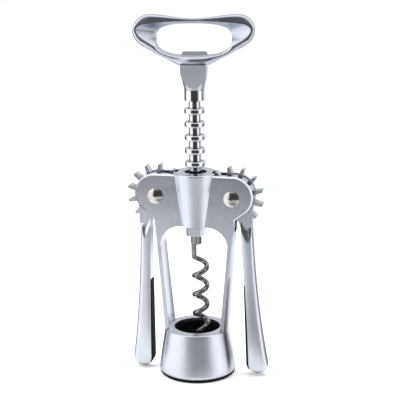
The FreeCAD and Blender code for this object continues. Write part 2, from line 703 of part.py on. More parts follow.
def make_head():
    """Opener head: dished loop with a cap-lifting lip, round neck and a flat tongue in front."""
    body = new_body("opener_head")
    outline = new_sketch(body, "loop_outline", "XZ_Plane")
    loop_outline(outline)
    loop = add_pad(body, "loop", outline, "head_depth")
    doc.recompute()
    face = value_of("head_depth / 2")
    low = value_of("neck_foot + neck_length - 2")
    rim = edges_where(loop, lambda point: abs(abs(point.y) - face) < 1e-4 and point.z > low)
    dress(body, "PartDesign::Fillet", "loop_edges", loop, rim, "Radius", "head_edge")

    neck = new_sketch(body, "neck_section", "XZ_Plane")
    neck_top = "(neck_foot + neck_length)"
    draw_outline(neck, (0, "neck_foot"), [
        (("neck_foot_radius - 0.4", "neck_foot"),),
        (("neck_foot_radius", "neck_foot + 0.4"), on_circle("neck_foot_radius - 0.4", "neck_foot + 0.4", 0.4, "-45")),
        (("neck_top_radius", neck_top),
         ("(neck_foot_radius + neck_top_radius) / 2 + 0.35", "neck_foot + neck_length / 2")),
        (("neck_top_radius - 4", f"{neck_top} + 2"), ("neck_top_radius - 1", f"{neck_top} + 1.4")),
        ((0, f"{neck_top} + 2"),),
        ((0, "neck_foot"),),
    ])
    add_turned(body, "neck", neck)

    tongue = new_sketch(body, "tongue_outline", "XZ_Plane")
    draw_outline(tongue, (0, "neck_foot + 0.9"), [
        (("neck_top_radius - 1.6", f"{neck_top} - 5.8"), ("neck_top_radius - 4", "neck_foot + 4.2")),
        (("neck_top_radius - 0.7", f"{neck_top} - 1.2"),),
        (mirror(("neck_top_radius - 0.7", f"{neck_top} - 1.2")),),
        (mirror(("neck_top_radius - 1.6", f"{neck_top} - 5.8")),),
        ((0, "neck_foot + 0.9"), mirror(("neck_top_radius - 4", "neck_foot + 4.2"))),
    ])
    raised = body.newObject("PartDesign::Pad", "tongue")
    raised.Profile = tongue
    bind(raised, "Length", "neck_top_radius + 0.5")
    slope = new_sketch(body, "tongue_slope", "YZ_Plane")
    draw_outline(slope, ("-(neck_foot_radius + 0.05)", "neck_foot"), corners(
        ("-(neck_top_radius + 0.4)", neck_top),
        ("-(neck_top_radius + 4)", neck_top),
        ("-(neck_top_radius + 4)", "neck_foot"),
        ("-(neck_foot_radius + 0.05)", "neck_foot")))
    add_pocket(body, "tongue_face", slope)

    mouth = new_sketch(body, "dish_mouth", "XZ_Plane", "head_depth / 2 + 0.01")
    dish_mouth(mouth)
    floor = new_sketch(body, "dish_floor", "XZ_Plane", "-(head_depth / 2 - lip_thickness)")
    dish_floor(floor)
    dish = body.newObject("PartDesign::SubtractiveLoft", "dish")
    dish.Profile = mouth
    dish.Sections = [floor]
    dish.Ruled = False

    clear = new_sketch(body, "mouth_clearance_outline", "XZ_Plane", "head_depth / 2")
    dish_mouth(clear)
    clearance = body.newObject("PartDesign::Pocket", "mouth_clearance")
    clearance.Profile = clear
    clearance.Reversed = True
    bind(clearance, "Length", "neck_top_radius")

    eye = new_sketch(body, "eye_outline", "XZ_Plane")
    draw_eye(eye)
    hole = body.newObject("PartDesign::Pocket", "eye")
    hole.Profile = eye
    hole.Type = "ThroughAll"
    hole.Midplane = True

    socket = new_sketch(body, "socket_section", "XZ_Plane")
    wide = "(tenon_radius + press_gap)"
    deep = "(neck_foot + tenon_length + press_gap)"
    draw_outline(socket, (0, "neck_foot - 1"), corners(
        (wide, "neck_foot - 1"), (wide, deep), (0, deep), (0, "neck_foot - 1")))
    add_turned(body, "tenon_socket", socket, cut=True)

    pin = new_sketch(body, "pin_circle", "XZ_Plane")
    draw_circle(pin, 0, "neck_foot + pin_rise", "pin_radius + press_gap")
    pin_hole = body.newObject("PartDesign::Pocket", "pin_hole")
    pin_hole.Profile = pin
    bind(pin_hole, "Length", "neck_top_radius + 2")
    turn_about_z(body, "head_turn_angle")
    return body


def draw_eye(sketch):
    """Through hole of the loop, with the cap-lifting lip left standing at its lower edge."""
    top, side, under, crown, keel = eye_points()
    lip_foot = ("lip_width / 2 + 0.6", f"({keel[1]}) + 0.1")
    lip_top = ("lip_width / 2", f"({keel[1]}) + lip_height")
    draw_outline(sketch, under, [
        (top, side),
        (mirror(top), crown),
        (mirror(under), mirror(side)),
        (mirror(lip_foot),),
        (mirror(lip_top),),
        (lip_top,),
        (lip_foot,),
        (under,),
    ])


def make_neck_pin():
    """Cross pin driven in from behind, hidden from the front."""
    body = new_body("neck_pin")
    sketch = new_sketch(body, "pin_circle", "XZ_Plane", "tenon_radius - 0.3")
    draw_circle(sketch, 0, "neck_foot + pin_rise", "pin_radius")
    pin = body.newObject("PartDesign::Pad", "pin")
    pin.Profile = sketch
    pin.Reversed = True
    bind(pin, "Length", "neck_foot_radius + tenon_radius")
    turn_about_z(body, "head_turn_angle")
    return body


def make_collar():
    """Square collar that stops the spindle against the sleeve."""
    body = new_body("stop_collar")
    sketch = new_sketch(body, "collar_outline", "XY_Plane", "collar_top - collar_height")
    half = "(collar_side / 2)"
    cut = f"({half} - collar_bevel)"
    draw_outline(sketch, (cut, f"-{half}"), corners(
        (half, f"-{cut}"), (half, cut), (cut, half), (f"-{cut}", half),
        (f"-{half}", cut), (f"-{half}", f"-{cut}"), (f"-{cut}", f"-{half}"), (cut, f"-{half}")))
    block = body.newObject("PartDesign::Pad", "block")
    block.Profile = sketch
    bind(block, "Length", "collar_height")
    bore = new_sketch(body, "bore_circle", "XY_Plane", "collar_top - collar_height")
    draw_circle(bore, 0, 0, "journal_radius + running_gap")
    add_pocket(body, "bore", bore)
    return body


def make_ferrule():
    """Ferrule that holds the worm's wire, with a stud up into the spindle."""
    body = new_body("worm_ferrule")
    sketch = new_sketch(body, "ferrule_section", "XZ_Plane")
    foot = "(ferrule_top - ferrule_length)"
    draw_outline(sketch, (0, foot), corners(
        ("ferrule_radius - 0.4", foot),
        ("ferrule_radius", f"{foot} + 0.4"),
        ("ferrule_radius", "ferrule_top"),
        ("stud_radius", "ferrule_top"),
        ("stud_radius", "ferrule_top + stud_length"),
        (0, "ferrule_top + stud_length"),
        (0, foot)))
    add_turned(body, "ferrule", sketch)
    wire = new_sketch(body, "wire_circle", "XY_Plane", foot)
    draw_circle(wire, "worm_offset - worm_radius", 0, "wire_radius + press_gap")
    seat = body.newObject("PartDesign::Pocket", "wire_seat")
    seat.Profile = wire
    bind(seat, "Length", "ferrule_length - ferrule_floor")
    seat.Reversed = True
    lock = new_sketch(body, "lock_circle", "XZ_Plane")
    draw_circle(lock, 0, lock_pin_height(), "lock_pin_radius + press_gap")
    add_pocket(body, "lock_hole", lock)
    turn_about_z(body, "head_turn_angle")
    return body


def make_lock_pin():
    """Small pin across the spindle's end that keeps the ferrule from turning or dropping out."""
    body = new_body("ferrule_pin")
    sketch = new_sketch(body, "pin_circle", "XZ_Plane")
    draw_circle(sketch, 0, lock_pin_height(), "lock_pin_radius")
    add_pad(body, "pin", sketch, "2 * groove_radius - 0.4")
    turn_about_z(body, "head_turn_angle")
    return body


def helix_point(turn, start_height):
    """Point and direction of the worm's wire after a number of turns, falling and turning clockwise."""
    radius = value_of("worm_radius")
    pitch = value_of("worm_pitch")
    offset = value_of("worm_offset")
    angle = math.pi - 2 * math.pi * turn
    point = V(offset + radius * math.cos(angle), radius * math.sin(angle), start_height - pitch * turn)
    run = 2 * math.pi * radius
    direction = V(run * math.sin(angle), -run * math.cos(angle), -pitch)
    return point, direction.normalize()


def biarc(start, start_way, end, end_way):
    """Two tangent arcs from one point and direction to another."""
    chord = end - start
    both = start_way + end_way
    a = 2 * (1 - start_way.dot(end_way))
    b = 2 * chord.dot(both)
    c = -chord.dot(chord)
    reach = (-b + math.sqrt(b * b - 4 * a * c)) / (2 * a) if abs(a) > 1e-12 else -c / b
    first = start + start_way * reach
    second = end - end_way * reach
    joint = (first + second) * 0.5
    return [arc_edge(start, start_way, joint), arc_edge(joint, (second - first).normalize(), end)]


def arc_edge(start, way, end):
    """Arc that leaves its start in the given direction."""
    chord = end - start
    side = chord - way * chord.dot(way)
    side.normalize()
    radius = chord.dot(chord) / (2 * chord.dot(side))
    centre = start + side * radius
    middle = centre + ((start + end) * 0.5 - centre).normalize() * radius
    return Part.Arc(start, middle, end).toShape()


def make_worm():
    """Open right-handed wire worm with a ground point, its helix beside the spindle's axis."""
    wire_radius = value_of("wire_radius")
    shank_foot = value_of("ferrule_top - ferrule_length - worm_shank")
    shank_top = value_of("ferrule_top - ferrule_floor - press_gap")
    turns = value_of("worm_turns")
    shank_x = value_of("worm_offset - worm_radius")
    entry = 0.1
    step = 0.2
    point_turns = 0.5

    top = V(shank_x, 0, shank_top)
    bend = V(shank_x, 0, shank_foot)
    down = V(0, 0, -1)
    edges = [Part.LineSegment(top, bend).toShape()]
    helix_start = shank_foot - value_of("worm_bend")
    point, way = helix_point(entry, helix_start)
    edges += biarc(bend, down, point, way)
    stops = stops_between(entry, turns - point_turns, step)
    edges += helix_edges(stops, helix_start)
    body = swept(edges, top, down, wire_radius, wire_radius)

    tip_stops = stops_between(turns - point_turns, turns, step)
    tip_start, tip_way = helix_point(tip_stops[0], helix_start)
    tip = swept(helix_edges(tip_stops, helix_start), tip_start, tip_way, wire_radius,
                value_of("worm_point_radius"))
    worm = doc.addObject("Part::Feature", "worm")
    worm.Label = "worm"
    worm.Shape = body.fuse(tip)
    turn_about_z(worm, "head_turn_angle")
    gap = value_of("worm_pitch") * math.cos(math.atan(value_of("worm_pitch") / (2 * math.pi * value_of("worm_radius"))))
    print(f"worm: least gap between turns {gap - 2 * wire_radius:.2f} mm")
    return worm


def stops_between(start, end, step):
    """Even stops from start to end, at most step apart."""
    count = max(1, math.ceil((end - start) / step - 1e-9))
    return [start + (end - start) * number / count for number in range(count + 1)]


def helix_edges(stops, start_height):
    """Arcs along the helix between the given turns."""
    edges = []
    for here, there in zip(stops, stops[1:]):
        start, start_way = helix_point(here, start_height)
        end, end_way = helix_point(there, start_height)
        edges += biarc(start, start_way, end, end_way)
    return edges


def swept(edges, start, way, start_radius, end_radius):
    """Round wire along a path, of one radius or tapering to another."""
    path = Part.Wire(edges)
    last = edges[-1]
    finish = last.valueAt(last.LastParameter)
    finish_way = last.tangentAt(last.LastParameter)
    shell = Part.BRepOffsetAPI.MakePipeShell(path)
    shell.add(Part.Wire([Part.Circle(start, way, start_radius).toShape()]))
    if end_radius != start_radius:
        shell.add(Part.Wire([Part.Circle(finish, finish_way, end_radius).toShape()]))
    shell.build()
    shell.makeSolid()
    return shell.shape()


# Wings: gear, hub and arm in one casting, with a soft pad inside each arm


def place_at_pivot(thing, side):
    """Put a sub-part that is drawn about its pivot where that pivot is."""
    thing.Placement.Rotation = FreeCAD.Rotation(V(0, -1, 0), value_of("wing_lean_angle"))
    bind(thing, "Placement.Rotation.Angle", "wing_lean_angle")
    bind(thing, "Placement.Base.x", f"{side} * pivot_offset")
    bind(thing, "Placement.Base.z", "pivot_height")


def out_from_pivot(side, point):
    """Mirror a point of the right wing for the left one."""
    return (f"{side} * ({point[0]})", point[1])


def polar(reach, across, degrees):
    """Point at a distance along, and a distance to the left of, a direction from the pivot."""
    return (f"({reach}) * cos({degrees}) - ({across}) * sin({degrees})",
            f"({reach}) * sin({degrees}) + ({across}) * cos({degrees})")


def arm_points():
    """Corners of the right arm, measured from its pivot."""
    tip_z = "(arm_tip_radius - arm_drop)"
    inner_top = ("arm_inner_top", "-arm_top")
    outer_top = ("arm_outer_top", "-arm_top")
    tip_outer = on_circle("arm_tip_out", tip_z, "arm_tip_radius", "arm_flare_angle")
    tip_inner = on_circle("arm_tip_out", tip_z, "arm_tip_radius", "arm_wrap_angle")
    tip_low = on_circle("arm_tip_out", tip_z, "arm_tip_radius", "-80")
    outer_mid = smooth_middle(outer_top, tip_outer, "arm_flare_angle - 90")
    inner_mid = (f"({inner_top[0]} + {tip_inner[0]}) / 2 + arm_inner_bulge",
                 f"({inner_top[1]} + {tip_inner[1]}) / 2")
    return inner_top, outer_top, tip_outer, tip_inner, tip_low, outer_mid, inner_mid


def make_lever(label, side):
    """Wing: arm, hub web, gear disc and teeth, bored for its rivet and cut for its pad."""
    body = new_body(label)
    inner_top, outer_top, tip_outer, tip_inner, tip_low, outer_mid, inner_mid = [
        out_from_pivot(side, point) for point in arm_points()]
    arm = new_sketch(body, "arm_outline", "XZ_Plane")
    draw_outline(arm, inner_top, [
        (outer_top,),
        (tip_outer, outer_mid),
        (tip_inner, tip_low),
        (inner_top, inner_mid),
    ])
    arm_pad = add_pad(body, "arm", arm, "arm_depth")
    doc.recompute()
    rounded = [name for name in edges_where(arm_pad, on_arm_face) if is_outer_edge(arm_pad, name)]
    dress(body, "PartDesign::Fillet", "arm_rounding", arm_pad, rounded, "Radius", "arm_round")

    for name, face in (("front_scoop", -1), ("rear_scoop", 1)):
        cut_scoop(body, name, side, face)

    disc = new_sketch(body, "disc_circle", "XZ_Plane")
    draw_circle(disc, 0, 0, "gear_root_radius")
    add_pad(body, "disc", disc, "gear_thickness")

    web = new_sketch(body, "web_outline", "XZ_Plane")
    web_start = out_from_pivot(side, (1.5, "-(gear_root_radius - 1)"))
    draw_outline(web, web_start, corners(
        out_from_pivot(side, ("arm_inner_top - 0.8", "-(arm_top - 2)")),
        out_from_pivot(side, ("arm_inner_top + 0.3", "-(arm_top + 1)")),
        out_from_pivot(side, ("arm_outer_top - 0.1", "-(arm_top + 1)")),
        out_from_pivot(side, ("arm_outer_top - 0.1", "-(gear_root_radius / 2)")),
        web_start))
    add_pad(body, "web", web, "gear_thickness")

    tooth = new_sketch(body, "tooth_outline", "XZ_Plane")
    foot = "(gear_root_radius - 0.6)"
    neck = "(gear_tip_radius - tooth_tip_width / 2)"
    facing = "(180 + 360 / tooth_count)" if side > 0 else "(-360 / tooth_count)"
    first = polar(foot, "-tooth_root_width / 2", facing)
    draw_outline(tooth, first, [
        (polar(neck, "-tooth_tip_width / 2", facing),),
        (polar(neck, "tooth_tip_width / 2", facing), polar("gear_tip_radius", "0", facing)),
        (polar(foot, "tooth_root_width / 2", facing),),
        (first,),
    ])
    first_tooth = add_pad(body, "first_tooth", tooth, "gear_thickness")
    teeth = body.newObject("PartDesign::PolarPattern", "teeth")
    teeth.Originals = [first_tooth]
    teeth.Axis = (tooth, ["N_Axis"])
    teeth.Reversed = side > 0
    bind(teeth, "Angle", "360 * (teeth_cut - 1) / tooth_count")
    bind(teeth, "Occurrences", "teeth_cut")
    body.Tip = teeth

    bore = new_sketch(body, "bore_circle", "XZ_Plane")
    draw_circle(bore, 0, 0, "rivet_radius + running_gap")
    add_pocket(body, "bore", bore)

    seat = new_sketch(body, "pad_seat_outline", "XZ_Plane")
    draw_seat_outline(seat, side)
    add_pocket(body, "pad_seat", seat, "pad_depth + 2 * pad_gap")
    place_at_pivot(body, side)
    return body


def cut_scoop(body, name, side, face):
    """Hollow with a round lower end, where the thin hub runs into the thick arm."""
    half = "((arm_outer_top - arm_inner_top) / 2)"
    middle = f"{side} * ((arm_outer_top + arm_inner_top) / 2 + 0.2)"
    deep = "((arm_depth - gear_thickness) / 2)"
    reach = f"((scoop_length ^ 2 + 2 * scoop_length * scoop_lead) / (2 * {deep}))"
    bow = f"(sqrt({reach} ^ 2 - scoop_lead ^ 2))"
    sketch = new_sketch(body, name + "_profile", "XY_Plane", "-(arm_top - scoop_lead)")
    bind(sketch, "AttachmentOffset.Base.y", f"{face} * (gear_thickness / 2 + {bow})")
    floor = f"-{face} * {reach}"
    brim = f"-{face} * ({reach} - {deep} / 2)"
    left = f"{middle} - ({half} - scoop_edge)"
    right = f"{middle} + ({half} - scoop_edge)"
    draw_outline(sketch, (left, brim), [
        ((right, brim), (middle, floor)),
        ((right, f"{brim} + {face} * {deep}"),),
        ((left, f"{brim} + {face} * {deep}"),),
        ((left, brim),),
    ])
    scoop = body.newObject("PartDesign::Groove", name)
    scoop.Profile = sketch
    scoop.ReferenceAxis = (sketch, ["H_Axis"])
    scoop.Angle = 40.0
    scoop.Midplane = True


def on_arm_face(point):
    """True for a point on an arm's front or rear face."""
    return abs(abs(point.y) - value_of("arm_depth / 2")) < 1e-4


def is_outer_edge(feature, name):
    """True for the arm's outer edge and its round end."""
    edge = feature.Shape.Edges[int(name[4:]) - 1]
    middle = edge.valueAt((edge.FirstParameter + edge.LastParameter) / 2)
    outer = value_of(arm_points()[5][0])
    at_end = middle.z < value_of("2 * arm_tip_radius - arm_drop")
    return at_end or abs(middle.x) > outer - 1


def inner_edge_at(drop):
    """Distance of the arm's inner edge from the pivot, along X, at a distance below the pivot."""
    tip_inner = on_circle("arm_tip_out", "(arm_tip_radius - arm_drop)", "arm_tip_radius", "arm_wrap_angle")
    span = f"(-({tip_inner[1]}) - arm_top)"
    share = f"(({drop} - arm_top) / {span})"
    line = f"(arm_inner_top + ({tip_inner[0]} - arm_inner_top) * {share})"
    return f"({line} + 4 * arm_inner_bulge * {share} * (1 - {share}))"


def pad_points(gap, stand):
    """Corners of the right grip pad's outline; stand scales how far it stands out of the arm."""
    low = f"(pad_bottom + {gap})"
    high = f"(pad_top - {gap})"
    turn = f"({low} - pad_foot)"
    return {
        "seat_top": (f"{inner_edge_at('pad_top')} + pad_seat + {gap}", f"-{high}"),
        "seat_bottom": (f"{inner_edge_at('pad_bottom')} + pad_seat + {gap}", f"-{low}"),
        "end_bottom": (f"{inner_edge_at('pad_bottom')} + 0.2", f"-{low}"),
        "turn": (f"{inner_edge_at(turn)} - ({stand}) * 0.95", f"-{turn}"),
        "turn_mid": (f"{inner_edge_at('pad_bottom')} - ({stand}) * 0.55", f"-({low} - pad_foot * 0.3)"),
        "out_top": (f"{inner_edge_at('pad_top')} - ({stand}) * 0.35", f"-({high} + pad_stand / 2)"),
        "end_top": (f"{inner_edge_at('pad_top')} + 0.2", f"-{high}"),
    }


def draw_pad_outline(sketch, side, gap, stand):
    """Grip pad from the front: seated in the arm's inner edge, growing out of it towards its round foot."""
    at = {name: out_from_pivot(side, point) for name, point in pad_points(gap, stand).items()}
    draw_outline(sketch, at["seat_top"], [
        (at["seat_bottom"],),
        (at["end_bottom"],),
        (at["turn"], at["turn_mid"]),
        (at["out_top"],),
        (at["end_top"],),
        (at["seat_top"],),
    ])


def draw_seat_outline(sketch, side):
    """Recess for the grip pad, open towards the inside of the arm."""
    points = pad_points("pad_gap", "pad_stand")
    seat_top = points["seat_top"]
    seat_bottom = points["seat_bottom"]
    draw_outline(sketch, out_from_pivot(side, seat_top), corners(
        out_from_pivot(side, seat_bottom),
        out_from_pivot(side, (f"{inner_edge_at('pad_bottom')} - 2 * pad_stand", seat_bottom[1])),
        out_from_pivot(side, (f"{inner_edge_at('pad_top')} - 2 * pad_stand", seat_top[1])),
        out_from_pivot(side, seat_top)))


def make_grip_pad(label, side):
    """Black soft pad on the inner side of an arm."""
    body = new_body(label)
    outline = new_sketch(body, "pad_outline", "XZ_Plane")
    draw_pad_outline(outline, side, "0", "pad_stand")
    pad = add_pad(body, "pad", outline, "pad_depth")
    doc.recompute()
    low = -value_of("pad_bottom")

    def on_outer_face(point):
        return abs(point.x) < value_of(inner_edge_at(-point.z)) - 0.4 and point.z > low + 0.1

    outer = edges_where(pad, on_outer_face)
    dress(body, "PartDesign::Chamfer", "pad_bevels", pad, outer, "Size", "pad_stand / 4")
    place_at_pivot(body, side)
    return body


# Rivets: a tubular front half with a dome, and a rear half pressed into it


def make_rivet_front(label, side):
    """Front half of a pivot rivet: dome, and the tube that its wing turns on."""
    body = new_body(label)
    sketch = new_sketch(body, "rivet_section", "XY_Plane")
    face = "(-plate_depth / 2)"
    back = "(plate_depth / 2 - 0.4)"
    core_end = "(-plate_depth / 4)"
    edge = ("rivet_head_radius", f"{face} - rivet_rim")
    apex = ("0", f"{face} - rivet_dome")
    draw_outline(sketch, apex, [
        ((0, core_end),),
        (("rivet_core_radius + press_gap", core_end),),
        (("rivet_core_radius + press_gap", back),),
        (("rivet_radius", back),),
        (("rivet_radius", face),),
        (("rivet_head_radius", face),),
        (edge,),
        (apex, smooth_middle(edge, apex, "180")),
    ])
    add_turned(body, "rivet", sketch)
    bind(body, "Placement.Base.x", f"{side} * pivot_offset")
    bind(body, "Placement.Base.z", "pivot_height")
    return body


def make_rivet_rear(label, side):
    """Rear half of a pivot rivet: dome, and the core pressed into the front half."""
    body = new_body(label)
    sketch = new_sketch(body, "rivet_section", "XY_Plane")
    face = "(plate_depth / 2)"
    core_end = "(-plate_depth / 4 + 0.3)"
    edge = ("rivet_head_radius", f"{face} + rivet_rim")
    apex = ("0", f"{face} + rivet_dome")
    draw_outline(sketch, (0, core_end), [
        (("rivet_core_radius", core_end),),
        (("rivet_core_radius", face),),
        (("rivet_head_radius", face),),
        (edge,),
        (apex, smooth_middle(edge, apex, "180")),
        ((0, core_end),),
    ])
    add_turned(body, "rivet", sketch)
    bind(body, "Placement.Base.x", f"{side} * pivot_offset")
    bind(body, "Placement.Base.z", "pivot_height")
    return body


def check(parts):
    """Stop if a feature failed or a sub-part has no valid solid."""
    bad = [item.Name for item in doc.Objects if "Invalid" in item.State or "Error" in item.State]
    bad += [item.Label for item in parts if item.Shape.isNull() or not item.Shape.isValid()]
    if bad:
        raise RuntimeError("failed: " + ", ".join(bad))


def main():
    parts = [
        make_frame(),
        make_guide(),
        make_rack(),
        make_head(),
        make_neck_pin(),
        make_collar(),
        make_ferrule(),
        make_lock_pin(),
        make_worm(),
    ]
    for name, side in (("left", -1), ("right", 1)):
        parts += [
            make_lever(name + "_lever", side),
            make_grip_pad(name + "_grip_pad", side),
            make_rivet_front(name + "_rivet_front", side),
            make_rivet_rear(name + "_rivet_rear", side),
        ]
    doc.recompute()
    check(parts)
    os.makedirs(PART_FOLDER, exist_ok=True)
    for item in parts:
        shape = item.Shape
        print(f"{item.Label}: {len(shape.Solids)} solid, {shape.Volume:.1f} mm3")
        shape.exportStep(os.path.join(PART_FOLDER, item.Label + ".step"))


main()
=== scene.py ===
# %% [markdown]
# # A wing corkscrew, dressed for its photograph
#
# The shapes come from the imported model, which is loaded first and stays where it is. This lesson
# gives them their finishes, makes the pieces whose shape follows a rule, lights them as a small
# product studio would, and sets the camera.

# %% Load the model and the tools
import bmesh
import bpy
import json
import math
from mathutils import Matrix, Vector


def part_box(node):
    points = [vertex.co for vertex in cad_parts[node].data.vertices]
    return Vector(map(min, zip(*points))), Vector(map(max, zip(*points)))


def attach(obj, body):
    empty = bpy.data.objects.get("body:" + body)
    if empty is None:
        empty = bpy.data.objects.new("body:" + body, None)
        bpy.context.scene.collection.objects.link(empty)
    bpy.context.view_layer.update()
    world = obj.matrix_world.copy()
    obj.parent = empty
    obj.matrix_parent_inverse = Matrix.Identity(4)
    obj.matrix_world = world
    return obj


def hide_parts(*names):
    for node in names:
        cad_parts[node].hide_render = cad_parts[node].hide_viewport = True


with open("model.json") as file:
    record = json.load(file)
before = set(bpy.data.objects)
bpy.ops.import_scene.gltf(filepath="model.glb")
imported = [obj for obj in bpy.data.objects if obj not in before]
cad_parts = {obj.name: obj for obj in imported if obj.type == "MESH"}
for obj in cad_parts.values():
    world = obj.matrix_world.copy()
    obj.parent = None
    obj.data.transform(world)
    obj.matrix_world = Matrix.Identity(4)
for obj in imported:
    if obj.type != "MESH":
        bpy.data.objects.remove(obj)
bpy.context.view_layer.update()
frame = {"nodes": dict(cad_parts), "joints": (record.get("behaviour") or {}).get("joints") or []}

MM = 0.001

# %% [markdown]
# ## Camera
#
# The photograph was taken with a long lens from a little above, with the object turned about
# thirteen degrees. A camera is three directions and a place, so it is easiest to build its matrix
# from the azimuth, the pitch and the small roll, and to give the lens as the length in pixels that
# was measured.

# %% Camera
CAMERA_AZIMUTH = math.radians(13.3)
CAMERA_PITCH = math.radians(14.503)
CAMERA_ROLL = math.radians(0.718)
CAMERA_DISTANCE = 638.5 * MM
CAMERA_HEIGHT = 257.9 * MM
IMAGE_SIZE = 400
FOCAL_PIXELS = 1289.4
CENTRE_SHIFT_PIXELS = -4.2


def place_camera():
    """Camera from its directions: right, up and backwards are the columns of its matrix."""
    ahead = Vector((-math.sin(CAMERA_AZIMUTH) * math.cos(CAMERA_PITCH),
                    math.cos(CAMERA_AZIMUTH) * math.cos(CAMERA_PITCH),
                    -math.sin(CAMERA_PITCH)))
    level = Vector((math.cos(CAMERA_AZIMUTH), math.sin(CAMERA_AZIMUTH), 0))
    above = level.cross(ahead)
    right = level * math.cos(CAMERA_ROLL) - above * math.sin(CAMERA_ROLL)
    up = above * math.cos(CAMERA_ROLL) + level * math.sin(CAMERA_ROLL)
    eye = Vector((CAMERA_DISTANCE * math.sin(CAMERA_AZIMUTH),
                  -CAMERA_DISTANCE * math.cos(CAMERA_AZIMUTH), CAMERA_HEIGHT))
    data = bpy.data.cameras.new("studio_camera")
    data.sensor_width = 36
    data.lens = data.sensor_width * FOCAL_PIXELS / IMAGE_SIZE
    data.shift_x = -CENTRE_SHIFT_PIXELS / IMAGE_SIZE
    data.clip_start = 0.01
    camera = bpy.data.objects.new("studio_camera", data)
    bpy.context.scene.collection.objects.link(camera)
    turn = Matrix((right, up, -ahead)).transposed().to_4x4()
    camera.matrix_world = Matrix.Translation(eye) @ turn
    bpy.context.scene.camera = camera
    return camera


camera = place_camera()
print(f"lens {camera.data.lens:.1f} mm at {CAMERA_DISTANCE:.3f} m")

# %% [markdown]
# ## Writing shaders as sums
#
# A shader's node graph is arithmetic. The small class below wraps a socket, so that an expression
# such as 1 - mask * 0.5 adds its Math nodes by itself, and one method adds any other node.


# %% Sockets that can be added and multiplied
class Wire:
    """A shader socket that takes part in Python arithmetic."""

    def __init__(self, tree, socket):
        self.tree = tree
        self.socket = socket

    def math(self, operation, *values):
        return node(self.tree, "ShaderNodeMath", {"operation": operation}, dict(enumerate(values)))

    def __add__(self, other):
        return self.math("ADD", self, other)

    def __radd__(self, other):
        return self.math("ADD", other, self)

    def __sub__(self, other):
        return self.math("SUBTRACT", self, other)

    def __rsub__(self, other):
        return self.math("SUBTRACT", other, self)

    def __mul__(self, other):
        return self.math("MULTIPLY", self, other)

    def __rmul__(self, other):
        return self.math("MULTIPLY", other, self)

    def ramp(self, low, high, start=0.0, end=1.0):
        """Smooth step from start to end while the value goes from low to high."""
        return node(self.tree, "ShaderNodeMapRange", {"interpolation_type": "SMOOTHSTEP"},
                    {"Value": self, "From Min": low, "From Max": high, "To Min": start, "To Max": end})


def node(tree, kind, settings=None, inputs=None, output=0):
    """Add a node, set its settings first, then its sockets from values or wires."""
    made = tree.nodes.new(kind)
    for name, value in (settings or {}).items():
        setattr(made, name, value)
    for name, value in (inputs or {}).items():
        socket = made.inputs[name]
        if isinstance(value, Wire):
            tree.links.new(value.socket, socket)
        else:
            socket.default_value = value
    return Wire(tree, made.outputs[output])


def new_material(name):
    """Material with an empty node tree and its output."""
    material = bpy.data.materials.new(name)
    material.use_nodes = True
    material.node_tree.nodes.clear()
    return material, material.node_tree


def finish_material(tree, shader):
    """Join a shader to the material's output."""
    out = tree.nodes.new("ShaderNodeOutputMaterial")
    tree.links.new(shader.socket, out.inputs["Surface"])


def object_place(tree):
    """Place on the piece, in metres."""
    return node(tree, "ShaderNodeTexCoord", output=3)


def noise(tree, place, size_mm, detail=3.0, stretch=(1, 1, 1)):
    """Noise whose grains are about the given size."""
    scaled = node(tree, "ShaderNodeMapping", inputs={"Vector": place, "Scale": stretch})
    return node(tree, "ShaderNodeTexNoise", inputs={
        "Vector": scaled, "Scale": 1 / (size_mm * MM), "Detail": detail, "Roughness": 0.55})


def occlusion_shade(tree, reach_mm):
    """One in the open, falling to zero in corners narrower than the reach; used to paint shade."""
    return node(tree, "ShaderNodeAmbientOcclusion", {"samples": 16},
                {"Distance": reach_mm * MM}, output=1)


def mix_colour(tree, mask, first, second):
    """Colour that goes from the first to the second as the mask goes from 0 to 1."""
    made = tree.nodes.new("ShaderNodeMix")
    made.data_type = "RGBA"
    for socket, value in ((made.inputs[0], mask), (made.inputs[6], first), (made.inputs[7], second)):
        if isinstance(value, Wire):
            tree.links.new(value.socket, socket)
        else:
            socket.default_value = value
    return Wire(tree, made.outputs[2])


print("shader helpers ready")

# %% [markdown]
# ## Plated zinc
#
# The frame, the wings and the opener loop are zinc castings, tumbled and then plated. Tumbling
# leaves a very shallow unevenness that makes reflections waver, and plating leaves a satin gloss
# with faint cloudiness. So the metal gets a broad shallow bump, a fine grain, and a roughness that
# drifts a little. Its colour is also darkened towards black in narrow corners and gaps, which is
# painted shade.


# %% Plated castings
def plated_casting(name, colour, gloss, waver):
    """Satin plating over a tumbled casting, with painted shade in its narrow corners."""
    material, tree = new_material(name)
    place = object_place(tree)
    cloud = noise(tree, place, 9.0, 2.0)
    grain = noise(tree, place, 0.35, 4.0)
    scratch = noise(tree, place, 1.2, 3.0, (1, 1, 0.08))
    darker = tuple(channel * 0.95 for channel in colour[:3]) + (1,)
    plain = mix_colour(tree, cloud.ramp(0.35, 0.7), darker, colour)
    # Painted shade: in narrow corners and gaps the colour goes to near black.
    tint = mix_colour(tree, occlusion_shade(tree, 5.0).ramp(0.12, 0.8), (0.05, 0.05, 0.06, 1), plain)
    rough = gloss + (cloud - 0.5) * 0.06 + (grain - 0.5) * 0.02 + (scratch - 0.5) * 0.03
    height = cloud + scratch * 0.04
    bump = node(tree, "ShaderNodeBump", inputs={"Strength": waver, "Distance": 0.0006, "Height": height})
    shader = node(tree, "ShaderNodeBsdfPrincipled", inputs={
        "Base Color": tint, "Metallic": 1.0, "Roughness": rough, "Normal": bump})
    finish_material(tree, shader)
    return material


satin_zinc = plated_casting("satin_plated_zinc", (0.76, 0.80, 0.88, 1), 0.28, 0.12)
soft_zinc = plated_casting("soft_plated_zinc", (0.70, 0.74, 0.82, 1), 0.34, 0.08)
bright_zinc = plated_casting("bright_plated_zinc", (0.84, 0.87, 0.91, 1), 0.1, 0.08)
print("plated castings:", satin_zinc.name, soft_zinc.name, bright_zinc.name)

